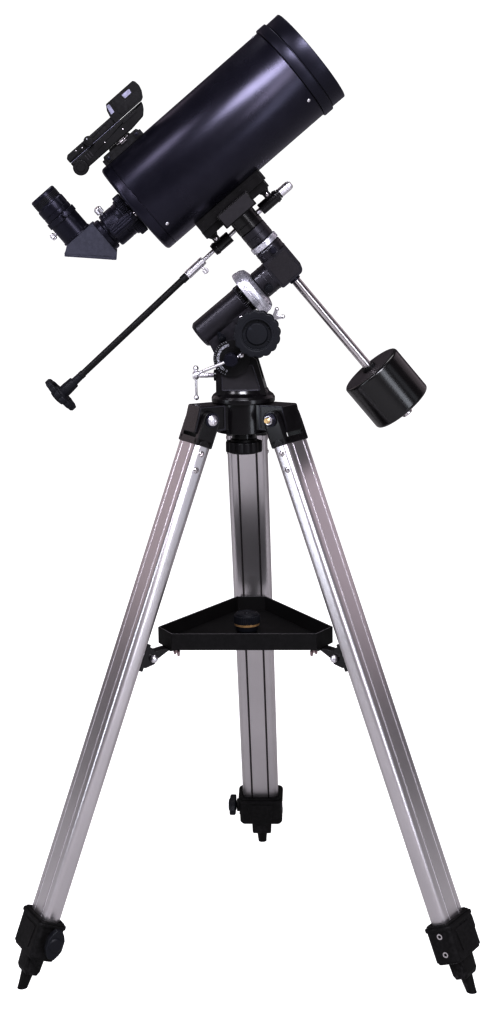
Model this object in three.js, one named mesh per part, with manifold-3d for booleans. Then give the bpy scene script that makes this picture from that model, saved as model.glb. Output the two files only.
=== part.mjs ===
// Maksutov-Cassegrain telescope on a small German equatorial mount and an
// aluminium field tripod.  Units are millimetres, +Z is up.
//
// Scene graph:
//   telescope            origin on the ground under the middle of the object
//     tripod             tripod axis, legs at 90, 210 and 330 degrees
//     azimuth            turns about the tripod axis
//       altitude         tilts about the altitude bolt, local +X is the polar axis
//         polar          turns about the polar axis, local +Z is the declination axis
//           declination  turns about the declination axis
//             tube       local +X is the optical axis, local +Z points away from the mount
import * as THREE from 'three';
import { mergeVertices } from 'three/addons/utils/BufferGeometryUtils.js';
import Module from 'manifold-3d';

const wasm = await Module();
wasm.setup();

// ---------------------------------------------------------------- dimensions
const DEG = Math.PI / 180;
const GAP = 0.3;                       // clearance between neighbouring pieces
const FINENESS = 0.5;                  // scales the facet count of every round surface
const facets = (n) => Math.max(12, 4 * Math.round(n * FINENESS / 4));

const CENTRE_X = 0.0;                  // tripod axis seen from the centre of the bounding box
const CENTRE_Y = -63.04;

// tripod
const LEG_AZIMUTH = { rear: 90, left: 210, right: 330 };
const LEG_TILT = 20.9 * DEG;           // leg to the vertical
const PIVOT_RADIUS = 51.27;            // leg bolt from the tripod axis
const PIVOT_HEIGHT = 634.93;
const LEG_WIDTH = 47.55;               // tangential
const LEG_THICK = 20.2;                // radial
const LEG_TO_GROUND = 679.65;          // bolt to the ground along the leg
const UPPER_LEG_TOP = 31;              // distances below the bolt along the leg
const UPPER_LEG_END = 624.5;
const LOWER_LEG_TOP = 150;             // hidden end of the sliding lower leg
const COLLAR_TOP = 592;
const COLLAR_END = 637;
const FOOT_BLOCK_END = 658;
const HUB_TOP = 650;
const HUB_BOTTOM = 616;
const ARM_HALF = 15.5;                 // half width of a hub arm
const HINGE_R = 4.0;

// accessory tray
const TRAY_FLOOR = 375.1;
const TRAY_TOP = 394.3;
const TRAY_CORNER_R = 105.7;           // truncated corner from the axis
const TRAY_CORNER_HALF = 18.2;
const TRAY_WALL = 2.4;
const TRAY_KNOB_R = 15.5;

// mount angles
const AZIMUTH = 0.47 * DEG;            // polar axis heading from +X
const ALTITUDE = 39.31 * DEG;          // polar axis above the horizon
const HOUR_ANGLE = 5.685 * DEG;        // declination axis about the polar axis
const DEC_ANGLE = 3.644 * DEG;         // tube about the declination axis

// mount
const ALT_PIVOT = [-11.16, 0, 701.93];
const POLAR_OFFSET = 40.97;            // polar axis above the altitude bolt
const DEC_FROM_PIVOT = 109.3;          // declination axis along the polar axis
const TUBE_OFFSET = 154.77;            // optical axis from the polar axis
const RA_HOUSING_R = 16.4;
const RA_SHAFT_R = 10.0;
const CIRCLE_R = 28.8;
const DEC_SHAFT_R = 8.0;
const CW_SHAFT_R = 5.25;
const CW_R = 36.9;
const CW_TOP = -154.2;                 // counterweight faces on the declination axis
const CW_BOTTOM = -213.8;

// optical tube, distances along the optical axis from the declination axis
const TUBE_R = 56.5;
const TUBE_FRONT = 140.4;
const TUBE_REAR = -73.6;
const FRONT_RIM = 170.5;
const REAR_END = -86.0;
const APERTURE_R = 50.6;
const EYEPIECE_R = 15.6;               // nominal 1.25 inch barrel

// ---------------------------------------------------------------- shape helpers
function tidy(geometry) {
  // merges coincident corners, drops empty triangles and turns the faces outward
  let g = geometry.clone();
  for (const k of Object.keys(g.attributes)) if (k !== 'position') g.deleteAttribute(k);
  g = mergeVertices(g, 1e-4);
  const p = g.attributes.position.array;
  const src = g.index.array;
  const tri = [];
  let volume = 0;
  for (let i = 0; i < src.length; i += 3) {
    const [a, b, c] = [src[i], src[i + 1], src[i + 2]];
    if (a === b || b === c || c === a) continue;
    tri.push(a, b, c);
    const [ax, ay, az] = [p[3 * a], p[3 * a + 1], p[3 * a + 2]];
    const [bx, by, bz] = [p[3 * b], p[3 * b + 1], p[3 * b + 2]];
    const [cx, cy, cz] = [p[3 * c], p[3 * c + 1], p[3 * c + 2]];
    volume += ax * (by * cz - bz * cy) + ay * (bz * cx - bx * cz) + az * (bx * cy - by * cx);
  }
  if (volume < 0) for (let i = 0; i < tri.length; i += 3) [tri[i + 1], tri[i + 2]] = [tri[i + 2], tri[i + 1]];
  const out = new THREE.BufferGeometry();
  out.setAttribute('position', new THREE.BufferAttribute(new Float32Array(p), 3));
  out.setIndex(tri);
  return out;
}

function toSolid(geometry) {
  const g = tidy(geometry);
  return new wasm.Manifold(new wasm.Mesh({
    numProp: 3,
    vertProperties: new Float32Array(g.attributes.position.array),
    triVerts: new Uint32Array(g.index.array),
  }));
}

function toGeometry(solid) {
  const m = solid.getMesh();
  const g = new THREE.BufferGeometry();
  g.setAttribute('position', new THREE.BufferAttribute(new Float32Array(m.vertProperties), 3));
  g.setIndex(Array.from(m.triVerts));
  return g;
}

// join the first list, cut the second list from it
function build(joined, cut = []) {
  let s = toSolid(joined[0]);
  for (const g of joined.slice(1)) s = s.add(toSolid(g));
  for (const g of cut) s = s.subtract(toSolid(g));
  return toGeometry(s);
}

function box(x0, x1, y0, y1, z0, z1) {
  const g = new THREE.BoxGeometry(x1 - x0, y1 - y0, z1 - z0);
  return g.translate((x0 + x1) / 2, (y0 + y1) / 2, (z0 + z1) / 2);
}

// cylinder or cone along Z, X or Y; r1 is the radius at the far end
function cylZ(r, z0, z1, seg = 32, r1 = r) {
  const g = new THREE.CylinderGeometry(r1, r, z1 - z0, facets(seg));
  return g.rotateX(Math.PI / 2).translate(0, 0, (z0 + z1) / 2);
}
function cylX(r, x0, x1, seg = 32, r1 = r) {
  const g = new THREE.CylinderGeometry(r1, r, x1 - x0, facets(seg));
  return g.rotateZ(-Math.PI / 2).translate((x0 + x1) / 2, 0, 0);
}
function cylY(r, y0, y1, seg = 32, r1 = r) {
  const g = new THREE.CylinderGeometry(r1, r, y1 - y0, facets(seg));
  return g.translate(0, (y0 + y1) / 2, 0);
}

// closed profile of [radius, height] pairs revolved about Z or X
function lathe(profile, seg = 40) {
  const pts = profile.map(([r, h]) => new THREE.Vector2(r, h));
  if (profile[0][0] > 0 || profile[profile.length - 1][0] > 0) pts.push(pts[0].clone());
  return new THREE.LatheGeometry(pts, facets(seg)).rotateX(Math.PI / 2);
}
function latheX(profile, seg = 40) {
  return lathe(profile, seg).rotateY(Math.PI / 2);
}

// outline of [x, y] points raised from z0 to z1, with optional holes
function raise(points, z0, z1, holes = []) {
  const shape = new THREE.Shape(points.map(([x, y]) => new THREE.Vector2(x, y)));
  for (const h of holes) shape.holes.push(new THREE.Path(h.map(([x, y]) => new THREE.Vector2(x, y))));
  return new THREE.ExtrudeGeometry(shape, { depth: z1 - z0, bevelEnabled: false, curveSegments: 8 }).translate(0, 0, z0);
}
// outline of [x, z] points carried from y0 to y1
function slab(points, y0, y1, holes = []) {
  return raise(points, -y1, -y0, holes).rotateX(Math.PI / 2);
}

function arc(cx, cy, r, a0, a1, n) {
  const out = [];
  for (let i = 0; i <= n; i++) {
    const a = (a0 + (a1 - a0) * i / n) * DEG;
    out.push([cx + r * Math.cos(a), cy + r * Math.sin(a)]);
  }
  return out;
}
function roundRect(hx, hy, r, n = 4) {
  return [
    ...arc(hx - r, hy - r, r, 0, 90, n), ...arc(-hx + r, hy - r, r, 90, 180, n),
    ...arc(-hx + r, -hy + r, r, 180, 270, n), ...arc(hx - r, -hy + r, r, 270, 360, n),
  ];
}
function gear(r0, r1, lobes, per = 4) {
  // scalloped outline with rounded lobes
  const out = [];
  const n = lobes * per;
  for (let i = 0; i < n; i++) {
    const a = 2 * Math.PI * i / n;
    const w = 0.5 - 0.5 * Math.cos(lobes * a);
    const r = r0 + (r1 - r0) * Math.sqrt(w);
    out.push([r * Math.cos(a), r * Math.sin(a)]);
  }
  return out;
}
function polygon(r, n, start = 0) {
  const out = [];
  for (let i = 0; i < n; i++) out.push([r * Math.cos(start + 2 * Math.PI * i / n), r * Math.sin(start + 2 * Math.PI * i / n)]);
  return out;
}

// ---------------------------------------------------------------- finishes
const FINISH = {
  satin_black: [0x0c0c10, 0.45, 0.2],
  mount_black: [0x131116, 0.38, 0.25],
  matte_black: [0x17161a, 0.8, 0.0],
  tube_black: [0x14141c, 0.36, 0.35],
  knob_plastic: [0x1a1c26, 0.62, 0.0],
  anodised: [0xb4b1b6, 0.42, 0.85],
  cast_silver: [0xb9b8bf, 0.4, 0.9],
  chrome: [0xc9c8cc, 0.14, 1.0],
  steel: [0xa6a3a6, 0.25, 1.0],
  prism_grey: [0x24242c, 0.7, 0.0],
  counterweight: [0x0b0a0c, 0.22, 0.1],
  glass: [0x8fa5a2, 0.05, 0.0],
  mirror: [0xdfe4e6, 0.03, 1.0],
};
function finish(name) {
  const [color, roughness, metalness] = FINISH[name];
  return new THREE.MeshStandardMaterial({ color, roughness, metalness, flatShading: true });
}
function piece(parent, name, geometry, look) {
  const g = tidy(geometry);
  g.computeVertexNormals();
  const m = new THREE.Mesh(g, finish(look));
  m.name = name;
  parent.add(m);
  return m;
}
function frame(parent, position = [0, 0, 0], rotation = [0, 0, 0]) {
  const g = new THREE.Group();
  g.position.set(...position);
  g.rotation.set(...rotation);
  parent.add(g);
  return g;
}

const telescope = new THREE.Group();
const tripod = frame(telescope, [-CENTRE_X, CENTRE_Y, 0]);

// ---------------------------------------------------------------- tripod hub
{
  const body = raise(polygon(30 / Math.cos(30 * DEG), 6, 0), HUB_BOTTOM, HUB_TOP);
  const joined = [body, cylZ(13.8, 607.6, HUB_BOTTOM + 1, 32)];
  const cut = [cylZ(5.4, 600, 660, 24)];
  for (const az of Object.values(LEG_AZIMUTH)) {
    const arm = slab([[18, HUB_TOP], [18, 620.5], [70, 620.5], [62.2, HUB_TOP]], -ARM_HALF, ARM_HALF);
    joined.push(arm.rotateZ(az * DEG));
    cut.push(cylY(HINGE_R + GAP, -20, 20, 20).translate(PIVOT_RADIUS, 0, PIVOT_HEIGHT).rotateZ(az * DEG));
  }
  piece(tripod, 'tripod_hub', build(joined, cut), 'mount_black');
}

// ---------------------------------------------------------------- legs
// local frame of a leg: origin on the bolt, +X out of the wide outer face,
// +Y tangential, -Z down the leg
const LEG_SECTION = (() => {
  const hx = LEG_THICK / 2, hy = LEG_WIDTH / 2, r = 6.5;
  const g = (x, y) => [[x, y - 1.9], [x - Math.sign(x) * 1.1, y - 1.2], [x - Math.sign(x) * 1.1, y + 1.2], [x, y + 1.9]];
  return [
    ...g(hx, -11), ...g(hx, 11),
    ...arc(hx - r, hy - r, r, 0, 90, 4), ...arc(-hx + r, hy - r, r, 90, 180, 4),
    ...g(-hx, 11).reverse(), ...g(-hx, -11).reverse(),
    ...arc(-hx + r, -hy + r, r, 180, 270, 4), ...arc(hx - r, -hy + r, r, 270, 360, 4),
  ];
})();
const LEG_BORE = roundRect(LEG_THICK / 2 - 2.1, LEG_WIDTH / 2 - 2.1, 4.2, 2);

for (const [side, az] of Object.entries(LEG_AZIMUTH)) {
  const turned = frame(tripod, [0, 0, 0], [0, 0, az * DEG]);
  const leg = frame(turned, [PIVOT_RADIUS, 0, PIVOT_HEIGHT], [0, -LEG_TILT, 0]);

  // forked top bracket: two rounded cheeks, a web under the hub arm and a
  // tongue that plugs the extrusion
  const cheek = [...arc(0, 0, 9.6, 0, 180, 8), [-10.1, -12], [-10.1, -30.5], [10.1, -30.5], [10.1, -12]];
  piece(leg, `leg_bracket_${side}`, build([
    slab(cheek, ARM_HALF + GAP, LEG_WIDTH / 2),
    slab(cheek, -LEG_WIDTH / 2, -ARM_HALF - GAP),
    box(-10.1, 10.1, -LEG_WIDTH / 2, LEG_WIDTH / 2, -30.5, -23.5),
    raise(roundRect(7.6, 21.2, 3.8, 2), -68, -30),
  ], [cylY(HINGE_R + GAP, -30, 30, 20)]), 'mount_black');

  // hinge bolt: domed head, shank, hexagon nut and thread end
  piece(leg, `hinge_bolt_${side}`, build([
    cylY(HINGE_R, -33, 25, 20),
    cylY(8.0, 24.1, 26.6, 24),
    cylY(7.4, 26.5, 28.4, 24, 5.0),
    raise(polygon(7.2, 6), -29.2, -24.1).rotateX(-Math.PI / 2),
  ]), 'chrome');

  piece(leg, `upper_leg_${side}`, raise(LEG_SECTION, -UPPER_LEG_END, -UPPER_LEG_TOP, [LEG_BORE.slice().reverse()]), 'anodised');

  // cast collar that clamps the sliding lower leg
  const hx = 15.8, hy = 28.5;
  piece(leg, `leg_collar_${side}`, build([
    raise(roundRect(hx, hy, 5, 2), -COLLAR_END, -COLLAR_TOP - 3),
    raise(roundRect(hx - 1.6, hy - 1.6, 4.5, 2), -COLLAR_TOP - 3.5, -COLLAR_TOP),
    cylY(8.2, hy - 2, hy + 4.2, 24).translate(-3, 0, -612),
  ], [
    raise(roundRect(LEG_THICK / 2 + GAP, LEG_WIDTH / 2 + GAP, 5.8, 3), -UPPER_LEG_END - GAP, -COLLAR_TOP + 5),
    raise(roundRect(7.55, 19.35, 3.2, 2), -COLLAR_END - 5, -UPPER_LEG_END + 5),
    cylY(3.4, 20, hy + 10, 20).translate(-3, 0, -612),
  ]), 'mount_black');

  // sliding lower leg with its foot block and tip, cut flat on the ground
  const ground = box(-60, 60, -60, 60, -30, 0)
    .translate(LEG_TO_GROUND * Math.sin(LEG_TILT), 0, -LEG_TO_GROUND * Math.cos(LEG_TILT))
    .rotateY(LEG_TILT);
  piece(leg, `lower_leg_${side}`, build([
    raise(roundRect(7.2, 19, 3, 2), -COLLAR_END - 2.5, -LOWER_LEG_TOP),
    raise(roundRect(9.5, 12, 3, 2), -FOOT_BLOCK_END, -COLLAR_END - 0.5),
    cylZ(7.2, -LEG_TO_GROUND - 3, -FOOT_BLOCK_END + 1, 24, 9.2),
    cylZ(4.6, -LEG_TO_GROUND - 6, -LEG_TO_GROUND, 24),
  ], [ground, raise(roundRect(5.4, 17.2, 2, 2), -630, -LOWER_LEG_TOP + 5)]), 'matte_black');

  // clamp screw with a two-winged knob, thread clear of the lower leg
  const wing = [[-17, -4], [-12, -9.5], [0, -11], [12, -9.5], [17, -4], [17, 4], [12, 9.5], [0, 11], [-12, 9.5], [-17, 4]]
    .map(([a, b]) => (side === 'rear' ? [a, b] : [-b, a]));
  piece(leg, `clamp_knob_${side}`, build([
    slab(wing, hy + 4.8, hy + 13.6),
    cylY(3.0, 24.2, hy + 6, 20),
    cylY(5.2, hy + 13, hy + 15.2, 20),
  ]).translate(-3, 0, -612), 'knob_plastic');

  // spreader: bracket on the inner face of the leg, pin and flat arm to the tray
  const arm = frame(turned);
  const pinR = 125, pinZ = 366.5;
  const onLeg = box(-16.5, -10.4, -15, 15, -294, -262.7).rotateY(-LEG_TILT).translate(PIVOT_RADIUS, 0, PIVOT_HEIGHT);
  const lug = box(-31, -14, -9, 9, -288, -268).rotateY(-LEG_TILT).translate(PIVOT_RADIUS, 0, PIVOT_HEIGHT);
  piece(arm, `brace_arm_${side}`, build([
    onLeg, lug,
    cylY(5.5, -12.5, 12.5, 20).translate(pinR, 0, pinZ),
    slab([[58, 371.9], [104, 371.9], [122, 362.5], [128, 366], [108, 374.7], [58, 374.7]], -11, 11),
  ]), 'satin_black');
}

// ---------------------------------------------------------------- accessory tray
{
  const corners = (grow) => {
    // the three long sides move in by grow, and so do the truncated corners
    const out = [];
    for (const az of [90, 210, 330]) {
      const c = Math.cos(az * DEG), s = Math.sin(az * DEG);
      const r = TRAY_CORNER_R - grow;
      const half = TRAY_CORNER_HALF - grow * Math.tan(30 * DEG);
      out.push([r * c + half * s, r * s - half * c], [r * c - half * s, r * s + half * c]);
    }
    return out;
  };
  const outer = corners(0), inner = corners(TRAY_WALL);
  const well = build([raise(outer, TRAY_FLOOR, TRAY_TOP)], [raise(inner, TRAY_FLOOR + 2.2, TRAY_TOP + 5)]);
  piece(tripod, 'accessory_tray', build([well, cylZ(12, TRAY_FLOOR + 0.5, 379.5, 32)], [cylZ(4.4, 360, 390, 24)]), 'matte_black');
  piece(tripod, 'tray_knob', build([
    lathe([[0, 379.9], [12.5, 379.9], [13.4, 381.5], [TRAY_KNOB_R, 392.5], [TRAY_KNOB_R, 399.5], [13.2, 401.8], [0, 402.4]], 36),
    cylZ(4.0, 369.5, 380.5, 24),
    cylZ(7.5, 366.5, 370.5, 24),
  ]), 'knob_plastic');
}

// ---------------------------------------------------------------- azimuth bolt
const azimuth = frame(tripod, [0, 0, 0], [0, 0, AZIMUTH]);
piece(azimuth, 'azimuth_knob', build([
  raise(gear(18.6, 21.2, 12, 4), 592.2, 604.5),
  cylZ(15.0, 604, 607.2, 32),
  cylZ(5.0, 600, 671, 24),
]), 'knob_plastic');

// ---------------------------------------------------------------- mount pedestal
{
  const [px, , pz] = ALT_PIVOT;
  const side = [
    [-29.5, 660], [27.6, 660], [17.0, 699.3],
    ...arc(px, pz, 18.5, 12, 168, 10), [-29.5, 699],
  ];
  piece(azimuth, 'mount_pedestal', build([
    lathe([[0, 650.4], [36.2, 650.4], [36.2, 656.2], [34.6, 658.4], [29.6, 661.6], [27.8, 664.5], [0, 664.5]], 48),
    slab(side, -22.4, 22.4),
  ], [
    // fork slot for the altitude lug, open upwards
    box(-60, 60, -13.0, 13.0, 676, 760),
    cylY(5.4, -40, 40, 24).translate(px, 0, pz),
    cylZ(5.3, 640, 673, 24),
    // threaded boss hole of the altitude screw
    cylX(3.2, -60, 60, 20).translate(0, 0, 680.3).translate(-12, 0, 0),
    // sloping sides
    box(-60, 60, 22.4, 60, -10, 120).rotateX(4.0 * DEG).translate(0, 1.0, 655.5),
    box(-60, 60, -60, -22.4, -10, 120).rotateX(-4.0 * DEG).translate(0, -1.0, 655.5),
  ]), 'mount_black');

  // altitude screw through the rear of the pedestal
  piece(azimuth, 'altitude_adjust_bolt', build([
    cylX(2.8, -50.5, -18, 20),
    cylX(4.7, -57.2, -50, 24),
  ], [cylZ(1.6, -10, 10, 16).translate(-53.6, 0, 0)]).translate(0, 0, 680.3), 'chrome');
  piece(azimuth, 'altitude_adjust_bar', build([
    cylZ(1.35, 654.4, 689, 16),
    new THREE.SphereGeometry(3.3, 12, 6).translate(0, 0, 688.5),
    new THREE.SphereGeometry(3.0, 12, 6).translate(0, 0, 654.6),
  ]).translate(-53.6, 0, 0), 'chrome');

  // lock bolt through fork and lug, and its sliding bar
  const lock = frame(azimuth, [px, 0, pz]);
  piece(lock, 'altitude_lock_bolt', build([
    cylY(5.0, -27, 27.5, 24),
    cylY(8.0, -43.0, -26.6, 32),
    raise(polygon(8.6, 6), 22.8, 27.3).rotateX(-Math.PI / 2),
  ], [cylX(1.95, -20, 20, 16).rotateY(-22 * DEG).translate(0, -37.5, 0)]), 'steel');
  piece(lock, 'altitude_lock_bar', build([
    cylX(1.7, -39.5, 12.4, 16),
    new THREE.SphereGeometry(3.2, 12, 6).translate(12.0, 0, 0),
    new THREE.SphereGeometry(2.4, 12, 6).translate(-39.5, 0, 0),
  ]).rotateY(-22 * DEG).translate(0, -37.5, 0), 'chrome');
}

// ---------------------------------------------------------------- polar housing
const altitude = frame(azimuth, ALT_PIVOT, [0, -ALTITUDE, 0]);
const OX = DEC_FROM_PIVOT, OZ = POLAR_OFFSET;
{
  const lug = [...arc(0, 0, 15.5, 180, 340, 10), [22, 4], [34, 10], [34, 32], [-9, 32], [-14, 12]];
  piece(altitude, 'ra_housing', build([
    cylX(RA_HOUSING_R, OX - 119.5, OX - 57.2, 48).translate(0, 0, OZ),
    cylX(14.6, OX - 122.7, OX - 119, 48, RA_HOUSING_R).translate(0, 0, OZ),
    slab(lug, -12.5, 12.5),
    box(28, 52.0, -13.5, 13.5, 6, 34),
    cylY(11.5, -27.5, 24, 36).translate(42, 0, 4.0),
  ], [
    cylX(RA_SHAFT_R + 0.35, OX - 113, OX, 36).translate(0, 0, OZ),
    cylY(5.4, -40, 40, 24).translate(0, 0, 0),
    cylY(4.35, -40, 16, 24).translate(42, 0, 4.0),
    cylX(2.9, 46.5, 60, 16).translate(0, 0, 3.0),
  ]), 'mount_black');

  // latitude scale: a disc on the near end of the lug, round the lock bolt
  piece(altitude, 'latitude_scale', build([
    cylY(20.8, -25.9, -23.0, 48),
  ], [cylY(5.4, -40, 0, 24)]), 'satin_black');

  // slow-motion knob of the polar axis
  const knob = frame(altitude, [42, 0, 4.0]);
  piece(knob, 'ra_slow_knob', build([
    raise(gear(24.2, 26.3, 16, 3), 44.5, 58.5).rotateX(Math.PI / 2),
    cylY(11, -45, -28.2, 32, 12.5),
    cylY(4.0, -30, 14.5, 24),
  ], [
    lathe([[0, 55.0], [12.4, 55.0], [12.6, 53.4], [17.4, 53.4], [18.6, 60], [0, 60]], 40).rotateX(Math.PI / 2),
  ]), 'knob_plastic');

  // setting circle and worm wheel round the polar shaft
  piece(altitude, 'ra_setting_circle', build([
    latheX([[RA_SHAFT_R + 0.35, OX - 56.8], [17.4, OX - 56.8], [17.4, OX - 52.6], [CIRCLE_R - 1.2, OX - 52.2], [CIRCLE_R, OX - 51.0],
      [CIRCLE_R, OX - 47.4], [CIRCLE_R - 1.4, OX - 46.2], [26.0, OX - 45.6], [21.0, OX - 39.5], [18.2, OX - 35.4], [RA_SHAFT_R + 0.35, OX - 35.4]], 56),
  ]).translate(0, 0, OZ), 'cast_silver');

  // wing screw that locks the polar axis
  piece(altitude, 'ra_lock_screw', build([
    cylX(2.5, 47.5, 60, 16),
    cylX(4.2, 54.0, 60, 20),
    slab([[59, -3.4], [64, -3.2], [70, -6.4], [73.5, -6.2], [73.5, -4.2], [68.5, 0], [73.5, 4.2], [73.5, 6.2], [70, 6.4], [64, 3.2], [59, 3.4]], -1.5, 1.5),
  ]).translate(0, 0, 3.0), 'chrome');
}

// ---------------------------------------------------------------- declination head
const polar = frame(altitude, [OX, 0, OZ], [HOUR_ANGLE, 0, 0]);
{
  const block = [[-15.9, 18.2], [-15.9, -17.2], ...arc(9.4, -10.9, 6.3, -90, 0, 5), [15.7, 18.2]];
  piece(polar, 'dec_housing', build([
    cylX(RA_SHAFT_R, -112, -15, 36),
    cylX(16.6, -34.9, -15, 48),
    slab(block, -16, 16),
    cylZ(16.2, 17, 29.2, 48),
  ], [
    cylZ(DEC_SHAFT_R + 0.35, 2, 40, 32),
    cylZ(CW_SHAFT_R + 0.4, -20, -4, 28),
  ]), 'mount_black');
  piece(polar, 'dec_setting_circle', lathe([
    [DEC_SHAFT_R + 0.35, 29.6], [15.6, 29.6], [16.9, 30.4], [16.9, 36.5], [15.8, 37.2], [DEC_SHAFT_R + 0.35, 37.2]], 48), 'cast_silver');

  // counterweight bar with its end stop
  piece(polar, 'counterweight_shaft', build([
    cylZ(CW_SHAFT_R, -217, -4.5, 28),
    cylZ(6.8, -223.4, -214.4, 28),
  ]), 'steel');
  const c = 4;
  piece(polar, 'counterweight', build([
    lathe([[0, CW_BOTTOM], [CW_R - c, CW_BOTTOM], [CW_R - 1.2, CW_BOTTOM + 1.2], [CW_R, CW_BOTTOM + c],
      [CW_R, CW_TOP - c], [CW_R - 1.2, CW_TOP - 1.2], [CW_R - c, CW_TOP], [0, CW_TOP]], 64),
  ], [
    cylZ(CW_SHAFT_R + 0.35, -230, -140, 28),
    cylY(3.4, 0, 60, 20).translate(0, 0, (CW_TOP + CW_BOTTOM) / 2),
  ]), 'counterweight');
  piece(polar, 'counterweight_screw', build([
    cylY(3.0, 6.2, 41, 20),
    raise(gear(7.2, 9.2, 6, 5), -51, -39.5).rotateX(Math.PI / 2),
  ]).translate(0, 0, (CW_TOP + CW_BOTTOM) / 2), 'chrome');
}

// ---------------------------------------------------------------- declination axis
const declination = frame(polar, [0, 0, 0], [0, 0, DEC_ANGLE]);
const tube = frame(declination, [0, 0, TUBE_OFFSET]);
{
  // clamp ring on the declination shaft, with the tangent arm behind it
  piece(tube, 'dec_clamp_ring', build([
    cylZ(DEC_SHAFT_R, -151, -116, 32),
    cylZ(15.6, -117.2, -99.8, 48),
    box(-5, 5, 10, 29, -113, -101),
    box(-5, 5, 18.6, 29, -108, -87.5),
  ]), 'mount_black');

  // saddle: swivel boss, rail, near jaw, posts and the two tangent sleeves
  const sleeveY = 22, sleeveZ = -92.9;
  piece(tube, 'saddle', build([
    cylZ(15.6, -99.4, -74.0, 48),
    box(-45.7, 44.5, -14, 30, -75.6, -66.9),
    box(-21.8, 21.2, -30.5, -12, -79.8, -66.9),
    box(-21.8, 21.2, -30.5, -20.5, -79.8, -61.8),
    box(33.2, 41.2, 17.5, 26.5, -92, -75),
    box(-42, -34, 17.5, 26.5, -92, -75),
    cylX(6.7, 21.2, 47.2, 32).translate(0, sleeveY, sleeveZ),
    cylX(6.7, -49, -24.2, 32).translate(0, sleeveY, sleeveZ),
  ], [
    cylX(3.9, -60, -20, 24).translate(0, sleeveY, sleeveZ),
    cylX(3.3, 10, 60, 24).translate(0, sleeveY, sleeveZ),
  ]), 'mount_black');
  piece(tube, 'spring_plunger', build([
    cylX(3.0, 7.2, 49, 20),
    cylX(5.3, 47.6, 64.0, 28),
    cylX(5.3, 63.9, 66.0, 28, 3.6),
  ]).translate(0, sleeveY, sleeveZ), 'chrome');

  // declination slow-motion drive: screw, stiff cable and knob on one straight axis
  const slow = frame(tube, [-49, sleeveY, sleeveZ - 0.1], [0, -2.4 * DEG, 0]);
  piece(slow, 'dec_slow_screw', build([
    cylX(2.3, -16, 41.8, 20),
    cylX(5.0, -41.2, -15.2, 28),
  ]), 'chrome');
  piece(slow, 'dec_slow_cable', cylX(3.85, -208, -41.5, 24), 'satin_black');
  piece(slow, 'dec_slow_knob', build([
    cylX(4.5, -218.5, -208.3, 24),
    cylX(7.1, -247, -218, 28),
    raise(gear(21.0, 22.6, 14, 4), -243, -236.2).rotateY(Math.PI / 2),
  ]), 'knob_plastic');
}

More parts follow.
